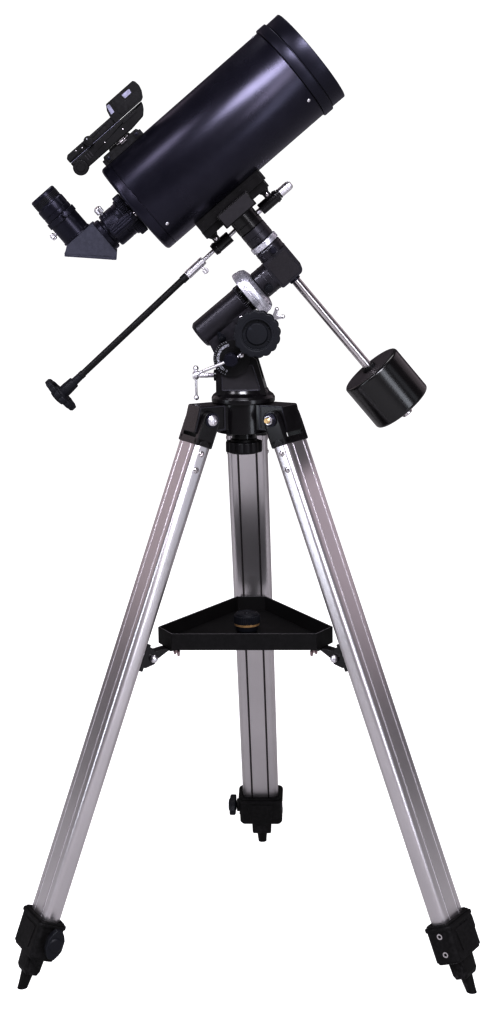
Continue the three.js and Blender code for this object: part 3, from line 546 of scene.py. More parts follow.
def threaded(r, w0, w1, axis="Z", pitch=1.0, at=(0, 0, 0), m=0, seg=24):
    """Rod with turned thread grooves."""
    pts = [(0, w0)]
    n = max(2, int(abs(w1 - w0) / pitch))
    for k in range(n):
        a = w0 + (w1 - w0) * k / n
        b = w0 + (w1 - w0) * (k + 0.5) / n
        pts += [(r * 0.86, a), (r, b)]
    pts += [(r * 0.86, w1), (0, w1)]
    return rev(pts, seg, axis, 0, 1, at, m)


# ================================================================== tripod hub
def build_hub():
    add = [rev([(0, 616), (31.5, 616), (31.5, 650), (0, 650)], 72, "Z", 0.8)]
    for a in LEGAZ.values():
        arm = prism(fillet([(14, 650), (14, 620.5), (70, 620.5), (62.2, 650)], [0, 0, 1.2, 2.0], 3), -15.5, 15.5, 1.0, plane="XZ")
        add.append(moved(arm, Matrix.Rotation(a * D, 4, "Z")))
    cut = [rod(5.4, 600, 660, f=0)]
    for a in LEGAZ.values():
        rot = Matrix.Rotation(a * D, 4, "Z")
        cut.append(moved(rod(4.3, -30, 30, "Y", 24, 0, at=(51.27, 0, 634.93)), rot))
        # shallow panels in both sides of each arm
        for s in (-1, 1):
            panel = prism(fillet([(33, 647.4), (33, 624), (65.6, 624), (60.4, 647.4)], 1.5, 3), min(s * 14.8, s * 17), max(s * 14.8, s * 17), 0, plane="XZ")
            cut.append(moved(panel, rot))
    shell = joined_cut(add, cut)
    ring = rev([(5.4, 607.6), (13.8, 607.6), (13.8, 617), (5.4, 617)], 48, "Z", 0.7)
    lines = []
    for a in LEGAZ.values():
        rot = Matrix.Rotation(a * D, 4, "Z")
        for e in (-1, 1):
            y0, y1 = (15.2, 15.62) if e > 0 else (-15.62, -15.2)
            ring_o = fillet([(30.6, 649.3), (30.6, 621.2), (68.9, 621.2), (61.7, 649.3)], 1.5, 3)
            ring_i = fillet([(32.0, 648.0), (32.0, 622.8), (66.8, 622.8), (60.5, 648.0)], 1.3, 3)
            lines.append(moved(prism(ring_o, y0, y1, 0.15, plane="XZ", holes=[ring_i], m=1), rot))
    lip = rev([(28.6, 649.4), (32.4, 649.4), (32.4, 650.3), (28.6, 650.3)], 72, "Z", 0.3)
    make("hub_casting", [shell, ring, lip] + lines, TRI, "tripod", ["enamel_black", "enamel_satin"], "tripod_hub", flat=True)


build_hub()


def section(hx, hy, r, groove=0.0, n=6):
    """Extruded leg section with two shallow grooves in each wide face."""
    out = []
    gw, gd = 1.25, groove

    def notch(x, y, s):
        i = -1 if x > 0 else 1
        return [(x, y - gw * s), (x + i * gd, y - gw * 0.8 * s), (x + i * gd, y + gw * 0.8 * s), (x, y + gw * s)]

    if groove:
        out += notch(hx, -11, 1) + notch(hx, 11, 1)
    out += arc(hx - r, hy - r, r, 0, 90, n) + arc(-hx + r, hy - r, r, 90, 180, n)
    if groove:
        out += notch(-hx, 11, -1) + notch(-hx, -11, -1)
    out += arc(-hx + r, -hy + r, r, 180, 270, n) + arc(hx - r, -hy + r, r, 270, 360, n)
    return out


SPIN = {"left": 6, "right": 16, "rear": 52}
for side in ("left", "right", "rear"):
    L = LEG[side]
    # -------- top bracket: two cheeks with a raised rim and a thumb boss, web and shoulders
    cheek = arc(0, 0, 9.8, 0, 180, 20) + [(-10.1, -8), (-10.1, -30.4), (10.1, -30.4), (10.1, -8)]
    rim_in = inset(cheek if area(cheek) > 0 else cheek[::-1], 1.1)
    shells = []
    for s in (-1, 1):
        a, b = (15.9, 23.4) if s > 0 else (-23.4, -15.9)
        plate = prism(cheek, a, b, 0.7, plane="XZ", holes=[circle(4.4, 24)])
        shells.append(plate)
        a, b = (22.9, 23.9) if s > 0 else (-23.9, -22.9)
        shells.append(prism(cheek, a, b, 0.35, plane="XZ", holes=[rim_in]))
        a, b = (22.9, 24.3) if s > 0 else (-24.3, -22.9)
        boss = arc(0, -30.4, 6.4, 0, 180, 16)
        shells.append(prism(boss, a, b, 0.6, plane="XZ"))
    shells.append(prism(fillet(rect(-10.1, 10.1, -23.4, 23.4), 2.2, 4), -30.5, -23.5, 0.6))
    shells.append(prism(fillet(rect(-10.6, 10.6, -23.9, 23.9), 2.6, 4), -31.2, -29.2, 0.4))
    shells.append(prism(fillet(rect(-7.6, 7.6, -21.2, 21.2), 3.8, 4), -68, -30, 0.4))
    make(f"bracket_{side}", shells, L, "tripod", ["enamel_black", "enamel_panel"], f"leg_bracket_{side}")

    # -------- hinge bolt: cross head with washer, nut and thread end
    bolt = [rod(3.3, -30, 25, "Y", 28, 0.3)]
    bolt.append(pipe(4.0, 8.2, 24.0, 25.2, "Y", 40, 0.3, m=2))
    bolt.append(moved(cross_screw(6.1, 3.2), facing((0, 25.1, 0), (0, 1, 0), 20)))
    bolt.append(pipe(4.0, 7.9, -25.3, -24.1, "Y", 40, 0.3, m=2))
    nut = prism(fillet(hexagon(5.9), 0.5, 2), -29.4, -25.2, 0.7, plane="XZ", holes=[circle(3.4, 24)])
    bolt.append(painted(nut, 0))
    bolt.append(threaded(3.3, -32.6, -29.0, "Y", 0.8, m=1))
    make(f"bolt_{side}", bolt, L, "tripod", ["chrome_plate", "brass_plate", "anodised_black"], f"hinge_bolt_{side}")

    # -------- upper leg extrusion with its side screws
    outer = section(10.1, 23.775, 6.5, 1.6, 8)
    inner = fillet(rect(-8.0, 8.0, -21.6, 21.6), 4.4, 5)
    # strips laid in the grooves of the wide faces: a light strip on the +X face is a painted highlight line, a dark
    # strip on the -X face is painted shade in the groove
    painted_highlight_and_shade_strips = []
    for y in (-11, 11):
        painted_highlight_and_shade_strips.append(prism(fillet(rect(8.3, 9.75, y - 0.95, y + 0.95), 0.45, 4), -624.3, -31.2, 0.1, m=1))
        painted_highlight_and_shade_strips.append(prism(fillet(rect(-9.3, -8.3, y - 0.85, y + 0.85), 0.2, 2), -624.3, -31.2, 0.1, m=2))
    make(f"leg_profile_{side}", [prism(outer, -624.5, -31, 0.25, holes=[inner])] + painted_highlight_and_shade_strips, L, "tripod", ["anodised_silver", "painted_highlight_strip", "painted_shade_strip"], f"upper_leg_{side}", sharp=24, flat=False, local=True)
    heads = []
    for s in (39.5, 58.7):
        for e in (-1, 1):
            heads.append(moved(cross_screw(2.9, 1.5), facing((0.3, e * 23.7, -s), (0, e, 0), 25 * e + s)))
            heads.append(moved(pipe(2.4, 3.6, 0, 0.5, f=0.15, seg=28), facing((0.3, e * 23.6, -s), (0, e, 0))))
    make(f"leg_screws_{side}", heads, L, "tripod", ["steel_turned"])

    # -------- collar that clamps the lower leg
    body = fillet(rect(-15.8, 15.8, -28.5, 28.5), 5.5, 6)
    low = fillet(rect(-14.6, 14.6, -27.0, 27.0), 5.0, 6)
    mouth = fillet(rect(-10.5, 10.5, -24.1, 24.1), 6.2, 6)
    shells = [prism(body, -634.2, -595.6, 0.9, holes=[mouth])]
    shells.append(prism(fillet(rect(-17.2, 17.2, -29.8, 29.8), 6.4, 6), -598.6, -594.0, 1.2, holes=[mouth]))
    shells.append(prism(fillet(rect(-15.0, 15.0, -27.8, 27.8), 5.6, 6), -595.4, -592.0, 0.8, holes=[mouth]))
    shells.append(prism(low, -637, -632, 1.4, holes=[fillet(rect(-7.6, 7.6, -19.4, 19.4), 3.2, 4)]))
    # boss of the clamp screw with an embossed rib
    shells.append(rev([(3.5, 26), (9.4, 26), (8.4, 32.6), (3.5, 32.6)], 40, "Y", 0.7, at=(-3, 0, -612)))
    for zz in (-602.5, -621.5):
        shells.append(prism(fillet(rect(-11, 5, zz - 0.8, zz + 0.8), 0.6, 2), 28.2, 29.3, 0.4, plane="XZ"))
    for e in (-1, 1):
        a, b = (15.5, 16.6) if e > 0 else (-16.6, -15.5)
        shells.append(prism(fillet([(-17, -601.5), (17, -601.5), (14, -628), (-14, -628)], 3, 4), a, b, 0.5, plane="YZ"))
    make(f"collar_{side}", shells, L, "tripod", ["moulded_matte"], f"leg_collar_{side}")
    washers = []
    for s in (604.0, 625.0):
        washers.append(moved(pipe(1.7, 3.5, 0, 0.7, f=0.2, seg=32), facing((1.0, -28.4, -s), (0, -1, 0))))
        washers.append(moved(cross_screw(1.8, 0.8, 1), facing((1.0, -28.5, -s), (0, -1, 0), 30)))
    make(f"collar_screws_{side}", washers, L, "tripod", ["steel_turned", "moulded_matte"])

    # -------- sliding lower leg, foot block and tip
    k = math.tan(20.9 * D)
    zt = -679.65
    shells = [prism(fillet(rect(-7.2, 7.2, -19, 19), 3, 5), -639.4, -150, 0.4, holes=[fillet(rect(-5.4, 5.4, -17.2, 17.2), 2, 4)])]
    make(f"inner_leg_{side}", shells, L, f"lower_leg_{side}", ["anodised_silver"], sharp=24, flat=False, local=True)
    foot = joined_cut(
        [prism(fillet([(-10.5, -637.6), (10.5, -637.6), (9.6, -655.5), (6.8, -660.5), (-6.8, -660.5), (-9.6, -655.5)], 1.2, 3), -12.6, 12.6, 2.0, plane="XZ"),
         rev([(0, -690), (5.4, -690), (5.6, -676), (7.0, -660), (9.0, -657.6), (0, -657.6)], 36, "Z", [0, 0, 3, 1.5, 0.5, 0])],
        [moved(prism(rect(-60, 60, -60, 60), -40, 0, 0), Matrix.Translation((0, 0, zt)) @ Matrix.Rotation(20.9 * D, 4, "Y"))], bevel=0.35)
    make(f"foot_{side}", [foot], L, f"lower_leg_{side}", ["moulded_matte"], f"lower_leg_{side}")

    # -------- clamp knob: long wing on a bright screw
    wing = fillet([(16.9, -3.6), (16.9, 3.6), (11.5, 7.4), (6.0, 9.8), (-6.0, 9.8), (-11.5, 7.4), (-16.9, 3.6), (-16.9, -3.6), (-11.5, -7.4), (-6.0, -9.8), (6.0, -9.8), (11.5, -7.4)], [2, 2, 6, 4, 4, 6, 2, 2, 6, 4, 4, 6], 4)
    if side != "rear":
        wing = [(-y, x) for x, y in wing]
    shells = [prism(wing, 34.2, 42.0, 1.5, plane="XZ", at=(-3, 0, -612), steps=3),
              rev([(0, 33.3), (6.2, 33.3), (8.6, 36.6), (8.6, 42.4), (6.8, 43.7), (0, 43.7)], 36, "Y", 0.7, at=(-3, 0, -612)),
              threaded(3.0, 24.2, 34.5, "Y", 1.0, at=(-3, 0, -612), m=1)]
    make(f"clamp_{side}", shells, L, f"clamp_knob_{side}", ["knob_navy", "steel_turned"], f"clamp_knob_{side}")

    # -------- spreader bracket, pin, arm and wing nut
    TN = TURNED[side]
    to_leg = Matrix.Translation((51.27, 0, 634.93)) @ Matrix.Rotation(-20.9 * D, 4, "Y")
    shells = [moved(prism(fillet(rect(-15, 15, -294, -262.7), 1.6, 3), -13.2, -10.35, 0.5, plane="YZ"), to_leg)]
    for e in (-1, 1):
        a, b = (7.2, 10.2) if e > 0 else (-10.2, -7.2)
        lug = fillet([(-12, -266), (-12, -292), (-22, -290), (-31.5, -283), (-31.5, -272), (-22, -266)], 3.0, 4)
        shells.append(moved(prism(lug, a, b, 0.5, plane="XZ"), to_leg))
        shells.append(moved(prism(fillet(rect(-16.6, -12.4, -294.4, -262.3), 0.8, 2), *((12.6, 15.4) if e > 0 else (-15.4, -12.6)), 0.5, plane="XZ"), to_leg))
    armo = fillet([(58, 371.6), (104, 371.6), (119, 363.0), (125.5, 360.6), (130, 366), (126, 372), (109, 374.6), (58, 374.6)], [0.5, 6, 4, 3, 4, 3, 6, 0.5], 4)
    shells.append(prism(armo, -6.6, 6.6, 0.5, plane="XZ"))
    for e in (-1, 1):
        a, b = (8.2, 11.0) if e > 0 else (-11.0, -8.2)
        shells.append(prism(fillet(rect(58, 104, 371.7, 374.6), 0.8, 2), a, b, 0.5, plane="XZ"))
    shells.append(prism(fillet(rect(58, 104, -11, 11), 1.0, 2), 373.0, 374.65, 0.3))
    make(f"spreader_{side}", shells, TN, "tripod", ["enamel_black"], f"brace_arm_{side}")
    shells = [rod(2.6, -13.4, 13.4, "Y", 24, 0.3, at=(125, 0, 366.5))]
    for e in (-1, 1):
        n = (0, e, 0)
        shells.append(moved(rev([(0, 0), (4.6, 0), (4.6, 2.2), (3.4, 4.4), (1.6, 5.4), (0, 5.6)], 28, "Z", 0.6), facing((125, e * 11.2, 366.5), n)))
    # wing nuts that hold the tray, below its floor
    for e in (-1, 1):
        wn = fillet([(-7.4, 0.4), (-6.2, -5.2), (-4.2, -5.6), (-2.6, -2.0), (2.6, -2.0), (4.2, -5.6), (6.2, -5.2), (7.4, 0.4), (4.0, 3.2), (-4.0, 3.2)], 1.0, 3)
        if e > 0:
            shells.append(prism(wn, -1.1, 1.1, 0.5, plane="YZ", at=(91, 0, 368.2), m=1))
            shells.append(rod(3.8, 366.6, 371.4, "Z", 24, 0.4, at=(91, 0, 0), m=1))
    make(f"spreader_pin_{side}", shells, TN, "tripod", ["chrome_plate", "bronze_wheel"])


# ================================================================== accessory tray
def tray_outline(grow):
    out = []
    for az in (90, 210, 330):
        c, s = math.cos(az * D), math.sin(az * D)
        r = 105.7 - grow
        half = 18.2 - grow * math.tan(30 * D)
        out += [(r * c + half * s, r * s - half * c), (r * c - half * s, r * s + half * c)]
    return out


shells = [prism(fillet(tray_outline(0), 1.6, 4), 375.1, 394.3, 0.55, holes=[fillet(tray_outline(2.2), 1.2, 4)], steps=3),
          prism(fillet(tray_outline(0.6), 1.6, 4), 375.1, 377.3, 0.5, holes=[circle(4.4, 32)])]
# folded rim and raised ribs of the floor
shells.append(pipe(4.5, 12.0, 376.9, 379.4, "Z", 48, 0.5))
for az in (90, 210, 330):
    rot = Matrix.Rotation(az * D, 4, "Z")
    shells.append(moved(prism(fillet(rect(20, 92, -8.5, 8.5), 4, 5), 377.1, 377.9, 0.35, holes=[fillet(rect(23, 89, -6.5, 6.5), 3, 5)]), rot))
# thin lighter strip along the top of the tray wall: partly wear, partly a painted highlight on the rim
shells.append(prism(fillet(tray_outline(0.45), 1.4, 4), 393.9, 394.32, 0.1, holes=[fillet(tray_outline(1.75), 1.2, 4)], m=1))
make("tray_pan", shells, TRI, "tripod", ["moulded_matte", "rim_wear_and_painted_highlight"], "accessory_tray", sharp=30)

shells = [rev([(0, 380.0), (12.6, 380.0), (13.4, 381.6), (14.2, 386.8), (0, 386.8)], 64, "Z", 0.5),
          rev([(0, 386.6), (14.5, 386.6), (14.5, 389.6), (0, 389.6)], 64, "Z", 0.3, m=1),
          knurled(15.4, 389.4, 399.0, "Z", 40, 0.5, 0.9),
          rev([(0, 398.5), (14.0, 398.5), (13.4, 400.8), (11.4, 401.7), (10.6, 400.9), (3.4, 400.7), (2.8, 402.2), (0, 402.3)], 64, "Z", 0.35),
          threaded(4.0, 369.5, 380.5, "Z", 1.2, m=2),
          prism(fillet(hexagon(7.4), 0.5, 2), 366.5, 370.5, 0.6, m=2)]
make("tray_knob_body", shells, TRI, "tray_knob", ["knob_navy", "ink_gold", "steel_turned"], "tray_knob")

shells = [prism(lobes(19.6, 21.2, 12, 10, 0.5), 592.2, 604.5, 1.3, steps=3),
          rev([(0, 604.0), (15.4, 604.0), (15.0, 607.2), (0, 607.2)], 56, "Z", 0.5),
          rev([(13.0, 590.9), (16.2, 590.9), (16.2, 593.0), (13.0, 593.0)], 56, "Z", 0.5),
          threaded(5.0, 600, 671, "Z", 1.6, m=1)]
make("azimuth_knob_body", shells, AZM, "azimuth_knob", ["moulded_black", "steel_turned"], "azimuth_knob")

# ================================================================== pedestal
px, pz = PIVOT[0], PIVOT[2]


def build_pedestal():
    side = [(-29.5, 660), (27.6, 660), (16.6, 699.3)] + arc(px, pz, 18.5, 12, 168, 24) + [(-29.5, 699)]
    taper = []
    core = prism(side, -22.4, 22.4, 0, plane="XZ")
    base = rev([(0, 650.4), (36.2, 650.4), (36.2, 655.4), (34.4, 658.4), (30.2, 661.4), (28.4, 665.2), (0, 665.2)], 96, "Z", [0, 1.0, 1.0, 2.0, 3.0, 0.6, 0], 4)
    cuts = [prism(rect(-60, 60, -13.0, 13.0), 676, 760, 0),
            rod(5.4, -40, 40, "Y", 32, 0, at=(px, 0, pz)),
            rod(5.3, 640, 673, "Z", 32, 0),
            rod(3.2, -70, 40, "X", 24, 0, at=(0, 0, 680.3))]
    for s in (-1, 1):
        m = Matrix.Translation((0, s * 1.0, 655.5)) @ Matrix.Rotation(s * 4.0 * D, 4, "X")
        y0, y1 = (22.4, 60) if s > 0 else (-60, -22.4)
        cuts.append(moved(prism(rect(-60, 60, y0, y1), -10, 120, 0), m))
        # recessed side panel, following the sloping cheek
        pan = fillet([(-22.5, 8.5), (20.4, 8.5), (11.2, 37.0), (-22.5, 37.0)], 1.6, 3)
        m2 = Matrix.Translation((0, s * 1.0, 655.5)) @ Matrix.Rotation(s * 4.0 * D, 4, "X")
        y0, y1 = (21.5, 24) if s > 0 else (-24, -21.5)
        cuts.append(moved(prism(pan, y0, y1, 0, plane="XZ"), m2))
    upright = joined_cut([core], cuts[4:])
    shell = joined_cut([upright, base], cuts[:4], bevel=0.55, segments=3, angle=28)
    extra = [shell]
    # boss of the altitude screw
    extra.append(pipe(3.3, 6.4, -33.0, -29.0, "X", 36, 0.5, at=(0, 0, 680.3)))
    make("pedestal_casting", extra, AZM, "pedestal", ["enamel_black", "enamel_panel"], "mount_pedestal", sharp=40)
    # matte inlay in the recessed panel
    for s in (-1, 1):
        m2 = Matrix.Translation((0, s * 1.0, 655.5)) @ Matrix.Rotation(s * 4.0 * D, 4, "X")
        y0, y1 = (21.45, 21.6) if s > 0 else (-21.6, -21.45)
        inlay = prism(fillet([(-21.9, 9.1), (19.6, 9.1), (10.6, 36.4), (-21.9, 36.4)], 1.4, 3), y0, y1, 0.04, plane="XZ")
        rimo = fillet([(-23.3, 7.7), (21.3, 7.7), (12.0, 37.8), (-23.3, 37.8)], 2.0, 4)
        y0, y1 = (21.9, 22.75) if s > 0 else (-22.75, -21.9)
        edge = prism(rimo, y0, y1, 0.35, plane="XZ", holes=[fillet([(-22.0, 9.0), (19.6, 9.0), (10.7, 36.5), (-22.0, 36.5)], 1.4, 4)])
        make("pedestal_rim_%s" % ("near" if s < 0 else "far"), [moved(edge, m2)], AZM, "pedestal", ["enamel_satin"])
        make("pedestal_panel_%s" % ("near" if s < 0 else "far"), [moved(inlay, m2)], AZM, "pedestal", ["enamel_panel"])


build_pedestal()

shells = [threaded(2.8, -50.5, -18, "X", 0.9, at=(0, 0, 680.3)),
          rod(2.9, -50.6, -40, "X", 24, 0.2, at=(0, 0, 680.3)),
          rev([(0, -50.6), (3.6, -50.6), (4.8, -52), (4.8, -55.6), (3.8, -57.2), (0, -57.2)], 36, "X", 0.5, at=(0, 0, 680.3))]
shells[-1] = joined_cut([shells[-1]], [rod(1.6, 670, 690, "Z", 24, 0, at=(-53.6, 0, 0))], bevel=0.2)
make("altitude_screw", shells, AZM, "altitude_adjust_bolt", ["chrome_plate"], "altitude_adjust_bolt")
make("altitude_screw_bar", [rod(1.4, 655, 688.5, "Z", 24, 0.2, at=(-53.6, 0, 0)), ball(3.2, (-53.6, 0, 688.4)), ball(3.0, (-53.6, 0, 654.7)),
                            rev([(1.4, 685.2), (2.1, 685.2), (2.1, 686.4), (1.4, 686.4)], 24, "Z", 0.2, at=(-53.6, 0, 0))],
     AZM, "altitude_adjust_bar", ["chrome_plate"], "altitude_adjust_bar", flat=False)

LOCK = sub(AZM, PIVOT)
head = joined_cut([rev([(0, -43.0), (7.0, -43.0), (8.0, -41.8), (8.0, -30), (7.2, -28.4), (6.2, -26.6), (0, -26.6)], 48, "Y", 0.5)],
                  [moved(rod(1.95, -20, 20, "X", 24, 0), Matrix.Translation((0, -37.5, 0)) @ Matrix.Rotation(-22 * D, 4, "Y"))], bevel=0.25)
shells = [painted(head, 1), rod(5.0, -27, 27.4, "Y", 32, 0.3), prism(fillet(hexagon(8.6), 0.6, 2), 22.8, 27.3, 0.8, plane="XZ"),
          pipe(5.0, 9.0, 21.8, 22.8, "Y", 40, 0.3), painted(moved(rod(5.6, -43.35, -42.6, "Y", 40, 0.3), I4), 1)]
make("lock_bolt", shells, LOCK, "altitude_lock_bolt", ["steel_turned", "anodised_black"], "altitude_lock_bolt")
turn = Matrix.Translation((0, -37.5, 0)) @ Matrix.Rotation(-22 * D, 4, "Y")
shells = [moved(rod(1.7, -39, 12, "X", 24, 0.2), turn), moved(ball(3.1, (12.0, 0, 0)), turn), moved(ball(2.4, (-39.4, 0, 0)), turn)]
make("lock_bar", shells, LOCK, "altitude_lock_bar", ["chrome_plate"], "altitude_lock_bar", flat=False)

# ================================================================== polar head
def build_ra():
    lug = arc(0, 0, 15.5, 180, 340, 28) + [(22, 4), (34, 10), (34, 32), (-9, 32), (-14, 12)]
    add = [rev([(0, OX - 122.7), (14.4, OX - 122.7), (16.4, OX - 119.8), (16.4, OX - 57.2), (0, OX - 57.2)], 96, "X", [0, 1.2, 1.5, 0.5, 0], 3, at=(0, 0, OZ)),
           prism(lug, -12.5, 12.5, 0, plane="XZ"),
           prism(fillet(rect(28, 52, 6, 34), 1.5, 2), -13.5, 13.5, 0, plane="XZ"),
           rod(11.5, -27.5, 24, "Y", 64, 0, at=(42, 0, 4.0))]
    cut = [rod(10.35, OX - 113, OX, "X", 48, 0, at=(0, 0, OZ)),
           rod(5.4, -40, 40, "Y", 32, 0),
           rod(4.35, -40, 16, "Y", 32, 0, at=(42, 0, 4.0)),
           rod(2.9, 46.5, 60, "X", 24, 0, at=(0, 0, 3.0))]
    shell = joined_cut(add, cut, bevel=0.6, segments=3, angle=30)
    rings = []
    # turned shoulder, toothed ring and end cap seam of the polar housing
    rings.append(pipe(15.0, 16.85, OX - 62.4, OX - 60.6, "X", 96, 0.3, at=(0, 0, OZ)))
    rings.append(prism(lobes(15.9, 17.5, 44, 6, 0.8), OX - 60.2, OX - 57.2, 0.3, plane="YZ", holes=[circle(10.4, 48)], at=(0, 0, OZ)))
    rings.append(pipe(0.8, 14.0, OX - 123.3, OX - 122.2, "X", 96, 0.4, at=(0, 0, OZ)))
    # worm housing: end cap plate on the near side
    rings.append(pipe(4.4, 10.2, -28.15, -27.2, "Y", 56, 0.3, at=(42, 0, 4.0)))
    make("polar_casting", [shell] + rings, ALT, "polar_head", ["enamel_satin"], "ra_housing", sharp=38)
    # slotted cap screws of the polar housing and the clamp thumb screw
    scr = []
    for a in (60, 180, 300):
        scr.append(moved(cross_screw(1.9, 0.9), facing((OX - 122.9, 10.0 * math.cos(a * D), OZ + 10.0 * math.sin(a * D)), (-1, 0, 0), a)))
    scr.append(moved(cross_screw(2.4, 1.1), facing((36.5, -13.4, 27), (0, -1, 0), 15)))
    scr.append(moved(cross_screw(2.4, 1.1), facing((36.5, 13.4, 27), (0, 1, 0), 40)))
    make("polar_screws", scr, ALT, "polar_head", ["steel_turned"])
    # small dark thumb knob under the lower end of the housing
    tk = [knurled(4.6, 8.4, 13.6, "Z", 18, 0.4, 0.6), rod(2.2, -1.0, 9.0, "Z", 20, 0.2), rev([(0, 13.2), (3.0, 13.2), (2.6, 14.3), (0, 14.4)], 28, "Z", 0.3)]
    tm = facing((OX - 103.5, -11.5, OZ - 10.5), (0.0, -0.82, -0.57))
    make("polar_thumb_screw", [moved(s, tm) for s in tk], ALT, "polar_head", ["knob_navy"])


build_ra()


def text_on_disc(text, r, ang, y, size, flip=1):
    """Figures that face -Y on a disc in the XZ plane, upright towards the centre's outside."""
    m = Matrix.Translation((0, y, 0)) @ Matrix.Rotation(90 * D, 4, "X") @ Matrix.Rotation(ang * D, 4, "Z") @ Matrix.Translation((0, r, 0))
    return moved(glyph(text, size), m)


# latitude scale: black disc with white figures and ticks
shells = [rev([(5.45, -25.6), (20.6, -25.6), (20.6, -23.0), (5.45, -23.0)], 96, "Y", 0.35),
          rev([(11.4, -25.9), (12.2, -25.9), (12.2, -25.3), (11.4, -25.3)], 96, "Y", 0.15)]
for k in range(0, 91, 10):
    shells.append(painted(text_on_disc(str(k), 15.0, 118 - k * 1.55, -25.62, 4.6), 1))
for k in range(0, 91, 5):
    a = (118 - k * 1.55) * D
    h = 2.0 if k % 10 == 0 else 1.1
    tick = prism(rect(-0.16, 0.16, 20.2 - h, 20.2), -25.68, -25.5, 0, plane="XZ")
    shells.append(painted(moved(tick, Matrix.Rotation(-a, 4, "Y")), 1))
make("latitude_dial", shells, ALT, "polar_head", ["moulded_black", "ink_white"], "latitude_scale")
# slow-motion knob of the polar axis: scalloped rim, recess and cap
KNOB = sub(ALT, (42, 0, 4.0))
rim = lobes(24.6, 26.3, 16, 12, 0.42)
shells = [prism(rim, -58.5, -44.5, 1.5, plane="XZ", holes=[circle(17.6, 72)], steps=4),
          rev([(0, -53.3), (17.8, -53.3), (17.8, -44.6), (0, -44.6)], 72, "Y", 0.2),
          rev([(0, -55.2), (11.2, -55.2), (12.4, -54.2), (12.6, -53.0), (0, -53.0)], 72, "Y", 0.5),
          rev([(16.4, -58.2), (18.9, -58.2), (17.6, -55.0), (17.6, -52.6), (16.4, -52.6)], 72, "Y", 0.3),
          rev([(0, -44.8), (20.4, -44.8), (17.0, -42.6), (12.4, -41.2), (11.0, -36), (11.0, -28.3), (0, -28.3)], 64, "Y", 0.8),
          rod(4.0, -30, 14.4, "Y", 28, 0.3, m=1)]
for k in range(6):
    shells.append(moved(prism(fillet(rect(13.3, 17.2, -0.6, 0.6), 0.4, 2), -54.4, -52.8, 0.3, plane="XZ"), Matrix.Rotation((k * 60 + 10) * D, 4, "Y")))
make("polar_knob", shells, KNOB, "ra_slow_knob", ["knob_navy", "steel_turned"], "ra_slow_knob")

# setting circle of the polar axis
prof = [(10.35, OX - 56.8), (16.4, OX - 56.8), (16.4, OX - 53.2), (27.4, OX - 52.2), (28.8, OX - 51.4), (28.8, OX - 46.6), (28.2, OX - 46.0), (27.6, OX - 46.0), (27.6, OX - 45.4), (28.3, OX - 45.2), (28.1, OX - 42.6), (26.6, OX - 39.4), (23.6, OX - 36.8), (18.6, OX - 35.4), (10.35, OX - 35.4)]
shells = [rev(prof, 160, "X", [0, 0.4, 0.8, 0.4, 0.3, 0.5, 0.1, 0.1, 0.1, 0.2, 3.0, 3.0, 2.5, 1.5, 0], 4, at=(0, 0, OZ))]
shells.append(prism(lobes(16.6, 17.45, 60, 5, 0.8), OX - 56.9, OX - 53.4, 0.3, plane="YZ", holes=[circle(10.5, 64)], at=(0, 0, OZ), m=2))
for k in range(72):
    a = k * 5
    h = 3.6 if k % 6 == 0 else (2.4 if k % 3 == 0 else 1.5)
    t = prism(rect(-0.11, 0.11, 0, h), 28.72, 28.86, 0)
    mt = Matrix.Translation((OX - 47.0, 0, OZ)) @ Matrix.Rotation(a * D, 4, "X") @ Matrix.Rotation(90 * D, 4, "Z")
    shells.append(painted(moved(t, mt), 1))
for k in range(24):
    a = k * 15
    slope = math.atan2(25.4 - 20.6, 45.4 - 39.5) / D
    mt = Matrix.Translation((OX, 0, OZ)) @ Matrix.Rotation(a * D, 4, "X") @ Matrix.Translation((-38.0, 0, 25.2)) @ Matrix.Rotation(41 * D, 4, "Y") @ Matrix.Rotation(90 * D, 4, "Z")
    shells.append(painted(moved(glyph(str(k), 2.6, 0.25), mt), 1))
make("polar_circle", shells, ALT, "ra_setting_circle", ["cast_satin", "ink_dark", "enamel_black"], "ra_setting_circle")

# wing screw that locks the polar axis
wingo = fillet([(59, -3.4), (64, -3.2), (70, -6.4), (73.5, -6.2), (73.5, -4.2), (68.5, 0), (73.5, 4.2), (73.5, 6.2), (70, 6.4), (64, 3.2), (59, 3.4)], 1.4, 4)
shells = [threaded(2.5, 47.5, 56, "X", 0.9), rev([(0, 54.0), (4.2, 54.0), (4.2, 59.4), (3.0, 61.4), (0, 61.6)], 32, "X", 0.6),
          prism(wingo, -1.5, 1.5, 0.9, plane="XZ", steps=3), moved(ball(2.4, (72.4, 0, 5.4)), I4), moved(ball(2.4, (72.4, 0, -5.4)), I4)]
make("polar_lock", [moved(s, Matrix.Translation((0, 0, 3.0))) for s in shells], ALT, "ra_lock_screw", ["chrome_plate"], "ra_lock_screw")

